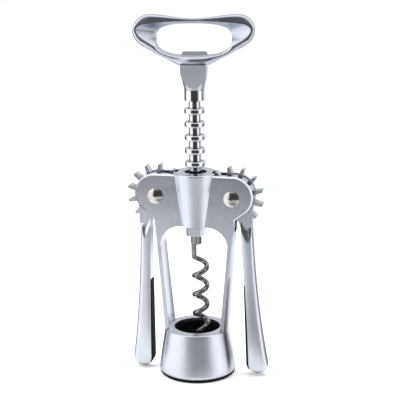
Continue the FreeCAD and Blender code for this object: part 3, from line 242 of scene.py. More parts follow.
# %% [markdown]
# ## Steel, plastic and grip
#
# The worm is drawn wire, so its faint lines run along it and it is darker than the castings. The
# bottle guide and the grip pads are black, one moulded hard with a fine spark-eroded grain, the
# other soft with a dull surface.


# %% Wire, rivets and black parts
def drawn_steel(name, colour, gloss):
    """Plated steel with fine drawing lines and a few dull clouds."""
    material, tree = new_material(name)
    place = object_place(tree)
    cloud = noise(tree, place, 4.0, 2.0)
    lines = noise(tree, place, 0.3, 3.0, (1, 1, 0.15))
    darker = tuple(channel * 0.75 for channel in colour[:3]) + (1,)
    tint = mix_colour(tree, cloud.ramp(0.3, 0.7), darker, colour)
    rough = gloss + (lines - 0.5) * 0.06 + (cloud - 0.5) * 0.04
    bump = node(tree, "ShaderNodeBump", inputs={
        "Strength": 0.05, "Distance": 0.0001, "Height": lines + cloud * 0.5})
    shader = node(tree, "ShaderNodeBsdfPrincipled", inputs={
        "Base Color": tint, "Metallic": 1.0, "Roughness": rough, "Normal": bump})
    finish_material(tree, shader)
    return material


def black_moulding(name, level, gloss, grain_mm, depth):
    """Black plastic or rubber with a moulded grain."""
    material, tree = new_material(name)
    place = object_place(tree)
    grain = noise(tree, place, grain_mm, 2.0)
    cloud = noise(tree, place, 6.0, 2.0)
    tint = mix_colour(tree, cloud.ramp(0.3, 0.7), (level, level, level, 1),
                      (level * 1.8, level * 1.8, level * 1.9, 1))
    bump = node(tree, "ShaderNodeBump", inputs={"Strength": depth, "Distance": 0.0001, "Height": grain})
    shader = node(tree, "ShaderNodeBsdfPrincipled", inputs={
        "Base Color": tint, "Roughness": gloss + (grain - 0.5) * 0.15, "Specular IOR Level": 0.25,
        "Normal": bump})
    finish_material(tree, shader)
    return material


worm_steel = drawn_steel("drawn_worm_steel", (0.34, 0.34, 0.35, 1), 0.05)
rivet_steel = drawn_steel("nickel_rivet", (0.78, 0.75, 0.71, 1), 0.16)
pin_steel = drawn_steel("plain_pin_steel", (0.5, 0.5, 0.51, 1), 0.35)
guide_black = black_moulding("moulded_guide_black", 0.004, 0.6, 0.3, 0.25)
grip_black = black_moulding("soft_grip_black", 0.004, 0.8, 0.45, 0.3)
print("five more finishes")

# %% [markdown]
# ## Dressing the nodes
#
# Each node of the model is given its finish, also the five that finer meshes stand for further down.

# %% Finishes for the model's own nodes
FINISHES = {
    "frame_casting": satin_zinc,
    "bottle_guide": guide_black,
    "rack_spindle": bright_zinc,
    "opener_head": satin_zinc,
    "neck_pin": pin_steel,
    "stop_collar": satin_zinc,
    "worm_ferrule": worm_steel,
    "ferrule_pin": pin_steel,
    "worm": worm_steel,
}
for side in ("left", "right"):
    FINISHES[side + "_lever"] = satin_zinc
    FINISHES[side + "_grip_pad"] = grip_black
    FINISHES[side + "_rivet_front"] = rivet_steel
    FINISHES[side + "_rivet_rear"] = rivet_steel

for name, material in FINISHES.items():
    piece = frame["nodes"][name]
    piece.data.materials.clear()
    piece.data.materials.append(material)
print("dressed", len(FINISHES), "nodes")

# %% [markdown]
# ## The opener's loop
#
# The real loop is a pressure casting: its front edge is a soft band, the inside is dished down to a
# hole, and the lower band swells forward over the neck. It could be carved from a block, but its
# shape follows a rule: seen from the front, it is three outlines, one inside another. So rays are
# sent out from the middle, each finds the three outlines, and one closed section is laid along each
# ray. The neck is turned, and the tongue and the cap lifter are small plates.

# %% Outlines of the loop
# Heights of the outlines are measured from the loop's widest place, in millimetres.
NECK_FOOT = round(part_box("opener_head")[0].z / MM, 2)
HEAD_CENTRE = NECK_FOOT + 30.0
HEAD_TURN = math.radians(7.6)
RAY_CENTRE = -5.0
LOOP_RAYS = 200

RIM_END_OUT = 22.4
RIM_END_DROP = 0.6
RIM_END_RADIUS = 8.0
RIM_TOP = 5.4
RIM_TOP_RISE = 2.0
FLANK_OUT = 26.2
FLANK_DROP = 8.0
FLANK_SLOPE = math.tan(math.radians(27.8))
KEEL_DROP = 18.8
KEEL_BLEND = 2.4

MOUTH_HALF_WIDTH = 28.8
MOUTH_END_LENGTH = 4.4
MOUTH_END_PINCH = 3.6
MOUTH_TOP = 4.3
MOUTH_TOP_FALL = 1.3
MOUTH_TOP_REACH = 24.0
MOUTH_KEEL_DROP = 13.8
MOUTH_KEEL_RISE = 9.4
MOUTH_KEEL_REACH = 25.6

EYE_HALF_WIDTH = 19.0
EYE_HALF_HEIGHT = 8.2
EYE_DROP = 5.0
EYE_SQUARENESS = 2.7


def smooth_most(first, second, blend):
    """Larger of two values, with a soft change between them."""
    share = min(max(0.5 + 0.5 * (first - second) / blend, 0.0), 1.0)
    return second * (1 - share) + first * share + blend * share * (1 - share)


def in_rim(x, z):
    """Inside the loop's outer outline: round ends, a dipped top, flanks that meet over the neck."""
    x = abs(x)
    if math.hypot(x - RIM_END_OUT, z + RIM_END_DROP) < RIM_END_RADIUS:
        return True
    rise = (1 - math.cos(math.pi * min(x / RIM_END_OUT, 1.0))) / 2
    top = RIM_TOP + RIM_TOP_RISE * rise if x < RIM_END_OUT else 0.0
    flank = (x - FLANK_OUT) * FLANK_SLOPE - FLANK_DROP
    low = smooth_most(flank, -KEEL_DROP, KEEL_BLEND)
    return x < FLANK_OUT and low < z < top


def in_mouth(x, z):
    """Inside the front edge of the dish."""
    x = abs(x)
    end = min(max((x - MOUTH_HALF_WIDTH) / MOUTH_END_LENGTH + 1, 0.0), 1.0)
    pinch = MOUTH_END_PINCH * (1 - math.sqrt(1 - end * end))
    top = MOUTH_TOP - MOUTH_TOP_FALL * (x / MOUTH_TOP_REACH) ** 2 - pinch
    low = MOUTH_KEEL_RISE * (x / MOUTH_KEEL_REACH) ** 1.7 - MOUTH_KEEL_DROP + pinch
    return x < MOUTH_HALF_WIDTH and low < z < top


def in_eye(x, z):
    """Inside the hole that goes right through: an oval drawn out towards a rectangle."""
    across = abs(x / EYE_HALF_WIDTH)
    along = abs((z + EYE_DROP) / EYE_HALF_HEIGHT)
    return across ** EYE_SQUARENESS + along ** EYE_SQUARENESS < 1


print("loop outlines ready, neck foot at", NECK_FOOT, "mm")

# %% Section of the loop along a ray
# Depths run from the front, which is negative, to the back. Up in the loop its band is set back and
# thin, and low down it swells forward over the neck.
LOOP_FRONT = -4.5
LOOP_BACK = 4.5
TOP_SET_BACK = 0.9
TOP_THINNING = 2.9
SWELL = 2.9
SWELL_REACH = 8.0
DISH_SLOPE = math.tan(math.radians(24))
DISH_LEAST_WIDTH = 0.7
DISH_EDGE = 0.25
DISH_FOOT = 0.2
DISH_POINTS = 6
EYE_EDGE = 0.3
BAND_POINTS = 16
BAND_START = 0.08
BAND_FULL_WIDTH = 3.2
BAND_SQUARENESS = 4.0
BAND_SQUARENESS_LOSS = 1.7
BAND_FALL = 1.6
BAND_FALL_GAIN = 2.4
BACK_ROUND = 1.5
BACK_POINTS = 4


def reach(inside, angle):
    """How far a ray goes before it leaves an outline, found by halving."""
    near, far = 0.0, 40.0
    for _ in range(30):
        middle = (near + far) / 2
        if inside(middle * math.cos(angle), RAY_CENTRE + middle * math.sin(angle)):
            near = middle
        else:
            far = middle
    return near


def loop_section(angle):
    """Closed section of the loop along one ray, as pairs of reach and depth."""
    eye, mouth, rim = (reach(outline, angle) for outline in (in_eye, in_mouth, in_rim))
    mouth = max(mouth, eye + DISH_LEAST_WIDTH)
    up = math.sin(angle)
    thin = math.sqrt(max(up, 0.0))
    swell = SWELL * math.exp(-(mouth * math.cos(angle) / SWELL_REACH) ** 2) * max(-up, 0.0)
    front = LOOP_FRONT + TOP_SET_BACK * thin - swell
    back = LOOP_BACK - TOP_THINNING * thin
    return (dish_points(eye, mouth, front, back)
            + band_points(mouth, rim, front, up)
            + back_points(eye, rim, back))


def dish_points(eye, mouth, front, back):
    """From the hole's back edge over its floor edge and up the dish to the front."""
    edge = front + DISH_EDGE
    floor = edge + (mouth - eye) * DISH_SLOPE
    foot = eye + DISH_FOOT
    points = [(eye, back - EYE_EDGE), (eye, floor + DISH_FOOT)]
    for step in range(DISH_POINTS):
        share = step / DISH_POINTS
        points.append((foot + (mouth - foot) * share, floor + (edge - floor) * share ** 1.1))
    return points + [(mouth, edge), (mouth + BAND_START, front + BAND_START)]


def band_points(mouth, rim, front, up):
    """Crowned front band, which falls off more and more softly towards the loop's lower side."""
    low = min(max(0.75 - up, 0.0), 1.0)
    power = 2 / (BAND_SQUARENESS - BAND_SQUARENESS_LOSS * low)
    fall = (BAND_FALL + BAND_FALL_GAIN * low) * min((rim - mouth) / BAND_FULL_WIDTH, 1.0)
    start = mouth + BAND_START
    points = []
    for step in range(1, BAND_POINTS + 1):
        turn = math.pi / 2 * step / BAND_POINTS
        out = start + (rim - start) * math.sin(turn) ** power
        points.append((out, front + fall * (1 - math.cos(turn) ** power)))
    return points


def back_points(eye, rim, back):
    """Rounded edge of the back, and the back to the hole."""
    points = []
    for step in range(BACK_POINTS + 1):
        turn = math.pi / 2 * step / BACK_POINTS
        points.append((rim - BACK_ROUND * (1 - math.cos(turn)),
                       back - BACK_ROUND * (1 - math.sin(turn))))
    return points + [(eye + EYE_EDGE, back)]


print("loop section has", len(loop_section(0.0)), "points")


# %% Meshes from sections, profiles and outlines
def skin_between(bm, here, there):
    """Band of faces between two rings of as many corners."""
    for first in range(len(here)):
        second = (first + 1) % len(here)
        bm.faces.new((here[first], here[second], there[second], there[first]))


def ring_mesh(bm, rings):
    """Closed skin through rings of points, joined all the way round both ways."""
    rows = [[bm.verts.new(point) for point in ring] for ring in rings]
    for here, there in zip(rows, rows[1:] + rows[:1]):
        skin_between(bm, here, there)


def turned_mesh(bm, profile, sides=64):
    """Solid of revolution about Z from pairs of radius and height; its ends lie on the axis."""
    low = bm.verts.new((0, 0, profile[0][1]))
    high = bm.verts.new((0, 0, profile[-1][1]))
    turns = [2 * math.pi * k / sides for k in range(sides)]
    rows = [[bm.verts.new((radius * math.cos(turn), radius * math.sin(turn), height)) for turn in turns]
            for radius, height in profile[1:-1]]
    for k in range(sides):
        after = (k + 1) % sides
        bm.faces.new((low, rows[0][after], rows[0][k]))
        bm.faces.new((high, rows[-1][k], rows[-1][after]))
        for here, there in zip(rows, rows[1:]):
            bm.faces.new((here[k], here[after], there[after], there[k]))


def plate_mesh(bm, outline, front, back):
    """Plate seen from the front: its front and back depths are functions of height."""
    near = [bm.verts.new((x, front(z), z)) for x, z in outline]
    far = [bm.verts.new((x, back(z), z)) for x, z in outline]
    bm.faces.new(near)
    bm.faces.new(far[::-1])
    for first in range(len(outline)):
        second = (first + 1) % len(outline)
        bm.faces.new((near[second], near[first], far[first], far[second]))


print("mesh makers ready")


# %% From a mesh to a finished piece
def finish_piece(name, bm, body, replaced, material, sharp=35, scale=MM, flat=()):
    """Turn a mesh in millimetres into a finished piece that stands for a node."""
    kept_flat = set(flat)
    for face in bm.faces:
        face.smooth = face not in kept_flat
    bmesh.ops.scale(bm, vec=(scale, scale, scale), verts=bm.verts)
    bmesh.ops.recalc_face_normals(bm, faces=bm.faces)
    mesh = bpy.data.meshes.new(name)
    bm.to_mesh(mesh)
    bm.free()
    old_normals = mesh.attributes.get("custom_normal")
    if old_normals:
        mesh.attributes.remove(old_normals)
    mesh.set_sharp_from_angle(angle=math.radians(sharp))
    piece = bpy.data.objects.new(name, mesh)
    bpy.context.scene.collection.objects.link(piece)
    mesh.materials.append(material)
    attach(piece, body)
    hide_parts(*replaced)
    return piece


print("pieces can be finished")

# %% Neck, tongue and cap lifter
# These meet the loop's lower band. The neck is turned, the other two are plates seen from the front.
NECK_POINTS = 8
NECK_SWELL_FOOT = NECK_FOOT + 0.8
NECK_SWELL_LENGTH = 11.4
TONGUE_JOINT = NECK_FOOT + 13.2
TONGUE_TOP = NECK_FOOT + 11.0
TONGUE_LENGTH = 10.4
TONGUE_HALF_WIDTH = 6.4
TONGUE_POINTS = 12
LIFTER_FOOT = NECK_FOOT + 16.2


def neck_profile():
    """Radius and height up the neck: a bevelled foot, a swelling cone and a rounded shoulder."""
    profile = [(0, NECK_FOOT), (4.8, NECK_FOOT), (5.1, NECK_FOOT + 0.1), (5.2, NECK_FOOT + 0.4)]
    for step in range(NECK_POINTS + 1):
        share = step / NECK_POINTS
        radius = 5.25 + 1.55 * share + 0.5 * math.sin(math.pi * share)
        profile.append((radius, NECK_SWELL_FOOT + NECK_SWELL_LENGTH * share))
    return profile + [(6.3, TONGUE_JOINT), (4.6, NECK_FOOT + 14.2), (0, NECK_FOOT + 14.6)]


def tongue_outline():
    """Corners of the tongue, which narrows to a round end lower down."""
    half = [(TONGUE_HALF_WIDTH, TONGUE_JOINT)]
    for step in range(TONGUE_POINTS):
        share = step / TONGUE_POINTS
        half.append((TONGUE_HALF_WIDTH * (1 - share ** 2.2) ** 0.7, TONGUE_TOP - TONGUE_LENGTH * share))
    return half + [(-x, z) for x, z in half[::-1]]


def tongue_front(height):
    """Depth of the tongue's sloping face."""
    return -(5.6 + 0.17 * (height - NECK_FOOT))


def lifter_outline():
    """Corners of the cap lifter's plate."""
    half = [(6.6, LIFTER_FOOT), (6.3, LIFTER_FOOT + 1.9), (5.6, LIFTER_FOOT + 2.3)]
    return half + [(-x, z) for x, z in half[::-1]]


print("neck:", len(neck_profile()), "points, tongue:", len(tongue_outline()), "corners")


# %% Opener head
def make_head():
    """Opener head as one piece of four closed skins, turned as the spindle is."""
    bm = bmesh.new()
    rings = []
    for number in range(LOOP_RAYS):
        angle = 2 * math.pi * number / LOOP_RAYS
        rings.append([(far * math.cos(angle), depth, HEAD_CENTRE + RAY_CENTRE + far * math.sin(angle))
                      for far, depth in loop_section(angle)])
    ring_mesh(bm, rings)
    turned_mesh(bm, neck_profile())
    plate_mesh(bm, tongue_outline(), tongue_front, lambda height: -2.0)
    plate_mesh(bm, lifter_outline(), lambda height: 1.8 + 0.45 * (height - LIFTER_FOOT), lambda height: 4.3)
    bmesh.ops.rotate(bm, verts=bm.verts, cent=(0, 0, 0), matrix=Matrix.Rotation(HEAD_TURN, 3, "Z"))
    return finish_piece("opener_loop_and_neck", bm, "spindle", ["opener_head"], soft_zinc)


head = make_head()
print("opener head:", len(head.data.polygons), "faces")

# %% [markdown]
# ## The wings' arms
#
# Each wing is one casting: a gear, and an arm that widens towards its round end. The real arm is
# soft to the hand: its front is slightly crowned, its outer side is round, and a hollow fades out
# where the hub runs into it. A box with bevels would stay flat. So the gear is kept from the model,
# cut off under the hub, and the arm is laid up from cross-sections whose width and thickness are
# rules of the distance from the pivot.

# %% Shape of an arm
# Drops are measured from the pivot down, and places across the arm from the pivot outwards.
joint_places = {joint["name"]: joint.get("pos_m") for joint in frame["joints"]}
PIVOT_OUT = joint_places["right_wing_swing"][0] / MM
PIVOT_HEIGHT = joint_places["right_wing_swing"][2] / MM
WING_LEAN = math.radians(-1.0)
GEAR_HALF_DEPTH = 2.52

ARM_START = 9.5
ARM_TOP = 15.5
ARM_DROP = 94.5
ARM_HALF_DEPTH = 3.5
ARM_INNER_TOP = 3.7
ARM_INNER_GAIN = 2.5
ARM_INNER_BOW = 0.35
ARM_OUTER_TOP = 10.0
ARM_OUTER_GAIN = 6.35
ARM_OUTER_BOW = 1.15
ARM_ROUNDING = 3.0
ARM_ROUNDING_POWER = 2.3
ARM_CROWN = 0.4
ARM_CROWN_SHARE = 0.45
ARM_CORNER = 0.3
TIP_OUT = 11.3
TIP_RADIUS = 5.1
TIP_DROP = ARM_DROP - TIP_RADIUS

HOLLOW_TOP = 16.5
HOLLOW_LENGTH = 7.5
HOLLOW_MIDDLE = 0.52
HOLLOW_CURVE = 4.5
HOLLOW_SIDE_LOSS = 3.0
HOLLOW_SIDE_POWER = 1.6


def arm_edges(drop):
    """Inner and outer edge of the arm at a distance below the pivot, both measured outwards."""
    if drop > TIP_DROP:
        half = math.sqrt(max(TIP_RADIUS ** 2 - (drop - TIP_DROP) ** 2, 0.0))
        return TIP_OUT - half, TIP_OUT + half
    share = (drop - ARM_TOP) / (TIP_DROP - ARM_TOP)
    bow = max(4 * share * (1 - share), 0.0)
    inner = ARM_INNER_TOP + ARM_INNER_GAIN * share + ARM_INNER_BOW * bow
    outer = ARM_OUTER_TOP + ARM_OUTER_GAIN * share - ARM_OUTER_BOW * bow
    return inner, outer


def rounded_off(inside):
    """One at a distance from an edge, falling to zero on the edge along a soft curve."""
    outside = 1 - min(max(inside, 0.0) / ARM_ROUNDING, 1.0)
    return max(1 - outside ** ARM_ROUNDING_POWER, 0.0) ** (1 / ARM_ROUNDING_POWER)


def arm_half_depth(out, drop, inner, outer):
    """Half the arm's thickness at a place."""
    share = (out - inner) / max(outer - inner, 1e-6)
    to_side = min(abs(share - HOLLOW_MIDDLE) / (1 - HOLLOW_MIDDLE), 1.0) ** HOLLOW_SIDE_POWER
    below = drop - HOLLOW_TOP + HOLLOW_CURVE * to_side
    grown = min(max(below / (HOLLOW_LENGTH - HOLLOW_SIDE_LOSS * to_side), 0.0), 1.0)
    grown = grown * grown * (3 - 2 * grown)
    crown = ARM_HALF_DEPTH - ARM_CROWN * (1 - min(share / ARM_CROWN_SHARE, 1.0)) ** 2
    depth = GEAR_HALF_DEPTH + (crown - GEAR_HALF_DEPTH) * grown
    depth *= rounded_off(outer - out) * rounded_off(ARM_DROP - drop)
    return max(depth, 0.02)


def arm_section(drop, steps=24):
    """Ring of points round the arm: over the front from the inner edge outwards, and back behind."""
    inner, outer = arm_edges(drop)
    front = []
    for step in range(steps + 1):
        share = math.sin(math.pi / 2 * step / steps)
        out = inner + (outer - inner) * share
        front.append((out, arm_half_depth(out, drop, inner, outer)))
    corner = min(ARM_CORNER, (outer - inner) / 4)
    front[0] = (inner, max(front[0][1] - corner, 0.01))
    front.insert(1, (inner + corner, arm_half_depth(inner + corner, drop, inner, outer)))
    ring = [(out, -depth, -drop) for out, depth in front]
    return ring + [(out, depth, -drop) for out, depth in front[::-1]]


def arm_drops(steps=90, end_steps=16, end_length=5.5):
    """Distances below the pivot at which sections are laid, closer together at the round end."""
    end = ARM_DROP - end_length
    drops = [ARM_START + (end - ARM_START) * step / steps for step in range(steps + 1)]
    for step in range(1, end_steps):
        drops.append(end + end_length * math.sin(math.pi / 2 * step / end_steps))
    return drops


print("arm section has", len(arm_section(50.0)), "points,", len(arm_drops()), "sections")


# %% Wings from gear and arm
def kept_gear(name, base, down):
    """The model's lever as a mesh in millimetres, cut off just below its hub and closed again."""
    bm = bmesh.new()
    bm.from_mesh(frame["nodes"][name].data)
    bmesh.ops.remove_doubles(bm, verts=bm.verts, dist=1e-6)
    bmesh.ops.scale(bm, vec=(1 / MM, 1 / MM, 1 / MM), verts=bm.verts)
    cut = bmesh.ops.bisect_plane(bm, geom=bm.verts[:] + bm.edges[:] + bm.faces[:],
                                 plane_co=base + down * (ARM_TOP - 0.1), plane_no=down, clear_outer=True)
    rim = [part for part in cut["geom_cut"] if isinstance(part, bmesh.types.BMEdge)]
    bmesh.ops.contextual_create(bm, geom=rim)
    return bm


def make_wing(side_name, side):
    """Wing casting for one side: the model's gear and the laid-up arm."""
    base = Vector((side * PIVOT_OUT, 0, PIVOT_HEIGHT))
    lean = Matrix.Rotation(WING_LEAN, 3, "Y")
    bm = kept_gear(side_name + "_lever", base, lean @ Vector((0, 0, -1)))
    gear_faces = bm.faces[:]
    rows = []
    for drop in arm_drops():
        ring = [base + lean @ Vector((side * out, depth, height))
                for out, depth, height in arm_section(drop)]
        rows.append([bm.verts.new(point) for point in ring])
    for here, there in zip(rows, rows[1:]):
        skin_between(bm, here, there)
    bm.faces.new(rows[0])
    tip = bm.verts.new(base + lean @ Vector((side * TIP_OUT, 0, -ARM_DROP)))
    last = rows[-1]
    for first in range(len(last)):
        bm.faces.new((last[first], last[(first + 1) % len(last)], tip))
    return finish_piece(side_name + "_wing_casting", bm, side_name + "_wing", [side_name + "_lever"],
                        satin_zinc, sharp=30, flat=gear_faces)


for side_name, side in (("left", -1), ("right", 1)):
    wing = make_wing(side_name, side)
    low = [round(value / MM, 2) for value in wing.bound_box[0]]
    high = [round(value / MM, 2) for value in wing.bound_box[6]]
    model = [[round(value / MM, 2) for value in corner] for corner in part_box(side_name + "_lever")]
    print(wing.name, low, high, "model", model)

# %% [markdown]
# ## The rack
#
# On the real spindle the rings are turned from one rod, all alike and evenly spaced, so that the
# wings' teeth mesh with them at any turn. One ring could be modelled and copied by hand. Geometry
# Nodes do it better: a rounded rectangle swept round a circle gives the ring, a line of points
# gives the places, and the number and the pitch stay two inputs that can be changed.


# %% Geometry Nodes helper
def new_tree(name, sizes):
    """Geometry node tree with named number inputs, and its wires by name."""
    tree = bpy.data.node_groups.new(name, "GeometryNodeTree")
    for label, value in sizes.items():
        kind = "NodeSocketInt" if isinstance(value, int) else "NodeSocketFloat"
        tree.interface.new_socket(label, in_out="INPUT", socket_type=kind).default_value = value
    tree.interface.new_socket("Geometry", in_out="OUTPUT", socket_type="NodeSocketGeometry")
    given = tree.nodes.new("NodeGroupInput")
    return tree, {label: Wire(tree, given.outputs[label]) for label in sizes}


def grown_mesh(name, tree, shape, material, sizes):
    """Finish a tree, run it on an empty mesh and give back the plain mesh that it made."""
    real = node(tree, "GeometryNodeRealizeInstances", inputs={0: shape})
    dressed = node(tree, "GeometryNodeSetMaterial", inputs={"Geometry": real, "Material": material})
    out = tree.nodes.new("NodeGroupOutput")
    tree.links.new(dressed.socket, out.inputs["Geometry"])
    holder = bpy.data.objects.new(name + "_holder", bpy.data.meshes.new(name + "_holder"))
    bpy.context.scene.collection.objects.link(holder)
    modifier = holder.modifiers.new("grown", "NODES")
    modifier.node_group = tree
    for item in tree.interface.items_tree:
        if item.in_out == "INPUT" and item.name in sizes:
            modifier[item.identifier] = sizes[item.name]
    bpy.context.view_layer.update()
    seen = holder.evaluated_get(bpy.context.evaluated_depsgraph_get())
    mesh = bpy.data.meshes.new_from_object(seen)
    holder.modifiers.clear()
    bpy.data.objects.remove(holder)
    return mesh


def finish_grown(name, mesh, body, replaced, material, sharp=35):
    """Turn a grown mesh into a finished piece that stands for a node."""
    bm = bmesh.new()
    bm.from_mesh(mesh)
    bmesh.ops.remove_doubles(bm, verts=bm.verts, dist=1e-7)
    for face in bm.faces:
        face.material_index = 0
    return finish_piece(name, bm, body, replaced, material, sharp, scale=1.0)


def joined(tree, *shapes):
    """Several shapes as one geometry."""
    made = tree.nodes.new("GeometryNodeJoinGeometry")
    for shape in reversed(shapes):
        tree.links.new(shape.socket, made.inputs[0])
    return Wire(tree, made.outputs[0])


def vector(tree, x=0.0, y=0.0, z=0.0):
    """Vector from three numbers or wires."""
    return node(tree, "ShaderNodeCombineXYZ", inputs={0: x, 1: y, 2: z})


print("geometry helpers ready")

# %% Rack of turned rings
# A groove lies just below the pivots. One ring is half a pitch under it, and the first one a pitch lower.
RING_PITCH = 6.8
MESHING_GROOVE = PIVOT_HEIGHT - 0.45
SHOULDER_LENGTH = 5.4
ROUND_STEPS = 72
RACK_SIZES = {
    "Ring Count": 9,
    "Ring Pitch": RING_PITCH * MM,
    "First Ring Height": (MESHING_GROOVE - 1.5 * RING_PITCH) * MM,
    "Ring Radius": 5.4 * MM,
    "Ring Thickness": 2.9 * MM,
    "Ring Rounding": 0.75 * MM,
    "Rod Radius": 3.1 * MM,
    "Rod Foot": 80.0 * MM,
    "Shoulder Foot": (NECK_FOOT - SHOULDER_LENGTH) * MM,
    "Shoulder Radius": 5.2 * MM,
    "Neck Foot": NECK_FOOT * MM,
}


def rod_between(tree, radius, foot, top):
    """Upright rod from one height to another."""
    length = top - foot
    rod = node(tree, "GeometryNodeMeshCylinder", inputs={
        "Vertices": ROUND_STEPS, "Radius": radius, "Depth": length})
    place = vector(tree, z=foot + length * 0.5)
    return node(tree, "GeometryNodeTransform", inputs={"Geometry": rod, "Translation": place})


def make_rack():
    """Spindle's rack: a rod, its evenly spaced rings and the plain part below the neck."""
    tree, size = new_tree("ringed_rack", RACK_SIZES)
    core = size["Rod Radius"] - 0.5 * MM
    width = size["Ring Radius"] - core
    section = node(tree, "GeometryNodeCurvePrimitiveQuadrilateral", {"mode": "RECTANGLE"},
                   {"Width": width, "Height": size["Ring Thickness"]})
    section = node(tree, "GeometryNodeFilletCurve", {"mode": "POLY"}, {
        "Curve": section, "Radius": size["Ring Rounding"], "Count": 5})
    circle = node(tree, "GeometryNodeCurvePrimitiveCircle", {"mode": "RADIUS"},
                  {"Resolution": ROUND_STEPS, "Radius": core + width * 0.5})
    ring = node(tree, "GeometryNodeCurveToMesh", inputs={"Curve": circle, "Profile Curve": section})
    places = node(tree, "GeometryNodeMeshLine", {"mode": "OFFSET"}, {
        "Count": size["Ring Count"],
        "Start Location": vector(tree, z=size["First Ring Height"]),
        "Offset": vector(tree, z=size["Ring Pitch"])})
    rings = node(tree, "GeometryNodeInstanceOnPoints", inputs={"Points": places, "Instance": ring})
    rod = rod_between(tree, size["Rod Radius"], size["Rod Foot"], size["Shoulder Foot"] + 1.0 * MM)
    shoulder = rod_between(tree, size["Shoulder Radius"], size["Shoulder Foot"], size["Neck Foot"])
    mesh = grown_mesh("ringed_rack", tree, joined(tree, rings, rod, shoulder), bright_zinc, RACK_SIZES)
    return finish_grown("ringed_rack", mesh, "spindle", ["rack_spindle"], bright_zinc)


rack = make_rack()
low, high = rack.bound_box[0], rack.bound_box[6]
print("rack:", len(rack.data.polygons), "faces, from", [round(v / MM, 2) for v in low],
      "to", [round(v / MM, 2) for v in high])

# %% [markdown]
# ## The worm
#
# A worm is wire wound on a mandrel: a straight shank runs into a helix, and the last half turn is
# ground to a point. It could be a hand-placed curve, but the path is a rule: the height alone says
# where the wire is. So a line of points is bent by that rule and a circle is swept along it, thinner
# towards the point.

# %% Worm
WORM_SIZES = {
    "Shank Top": 73.9 * MM,
    "Helix Start": 62.3 * MM,
    "Pitch": 10.2 * MM,
    "Turns": 4.0,
    "Helix Radius": 3.3 * MM,
    "Helix Offset": 2.05 * MM,
    "Wire Radius": 1.38 * MM,
    "Point Radius": 0.2 * MM,
    "Ground Turns": 0.5,
}
WIRE_POINTS = 420
WIRE_SIDES = 20
# Square of the share of a turn over which the straight shank bends into the helix.
BEND_SOFTNESS = 0.05 ** 2


def make_worm():
    """Wire worm whose path follows from its height."""
    tree, size = new_tree("wire_worm", WORM_SIZES)
    foot = size["Helix Start"] - size["Pitch"] * size["Turns"]
    line = node(tree, "GeometryNodeCurvePrimitiveLine", {"mode": "POINTS"}, {
        "Start": vector(tree, z=size["Shank Top"]), "End": vector(tree, z=foot)})
    line = node(tree, "GeometryNodeResampleCurve", inputs={"Curve": line, "Count": WIRE_POINTS})
    place = node(tree, "GeometryNodeInputPosition")
    height = node(tree, "ShaderNodeSeparateXYZ", inputs={0: place}, output=2)
    below = size["Helix Start"] - height
    fallen = below.math("DIVIDE", below, size["Pitch"])
    soft = fallen.math("SQRT", fallen * fallen + BEND_SOFTNESS)
    turn = (fallen + soft) * 0.5
    angle = math.pi - turn * (2 * math.pi)
    x = size["Helix Offset"] + size["Helix Radius"] * turn.math("COSINE", angle)
    y = size["Helix Radius"] * turn.math("SINE", angle)
    wound = node(tree, "GeometryNodeSetPosition", inputs={
        "Geometry": line, "Position": vector(tree, x, y, height)})
    left = size["Turns"] - turn
    unground = left.math("DIVIDE", left, size["Ground Turns"])
    thick = unground.ramp(0.0, 1.0, size["Point Radius"], size["Wire Radius"])
    circle = node(tree, "GeometryNodeCurvePrimitiveCircle", {"mode": "RADIUS"}, {
        "Resolution": WIRE_SIDES, "Radius": 1.0})
    wire = node(tree, "GeometryNodeCurveToMesh", inputs={
        "Curve": wound, "Profile Curve": circle, "Scale": thick, "Fill Caps": True})
    turned = node(tree, "GeometryNodeTransform", inputs={
        "Geometry": wire, "Rotation": (0.0, 0.0, HEAD_TURN)})
    mesh = grown_mesh("wire_worm", tree, turned, worm_steel, WORM_SIZES)
    return finish_grown("wire_worm", mesh, "spindle", ["worm"], worm_steel, 60)


worm = make_worm()
low, high = worm.bound_box[0], worm.bound_box[6]
print("worm:", len(worm.data.polygons), "faces, from", [round(v / MM, 2) for v in low],
      "to", [round(v / MM, 2) for v in high])

# %% [markdown]
# ## The white table
#
# A product studio's sweep is so bright that it leaves the picture's range. Here the floor is a pale
# matte surface with a little light of its own, which lifts it to white and still lets the object
# shade it. What the metal sees of the floor and the room is chosen apart from that: both are darker
# in front, where the camera stands, with a black flag on either side, and the floor is darker again
# close under the object, a painted shadow in what the metal reflects.

# %% Room and floor
# Sectors round the object, in degrees from the camera's side: where each opens and where it closes.
ROOM_FRONT = ((-52, -34), (30, 58))
TABLE_FRONT = ((-62, -8), (20, 62))
LIT_SIDES = ((-150, -125), (125, 150))
RIGHT_FLAG = ((78, 90), (116, 130))
LEFT_FLAG = ((-150, -138), (-112, -98))
ROOM_STRENGTH = 1.35
ROOM_BLUE = 1.37
FLOOR_STRENGTH = 1.2
FLOOR_HALF_WIDTH = 4.0


def sector(angle, opens, closes):
    """Share of a sector: rises over the first pair of angles and falls over the second, in degrees."""
    rise = angle.ramp(math.radians(opens[0]), math.radians(opens[1]))
    fall = angle.ramp(math.radians(closes[0]), math.radians(closes[1]), 1.0, 0.0)
    return rise * fall


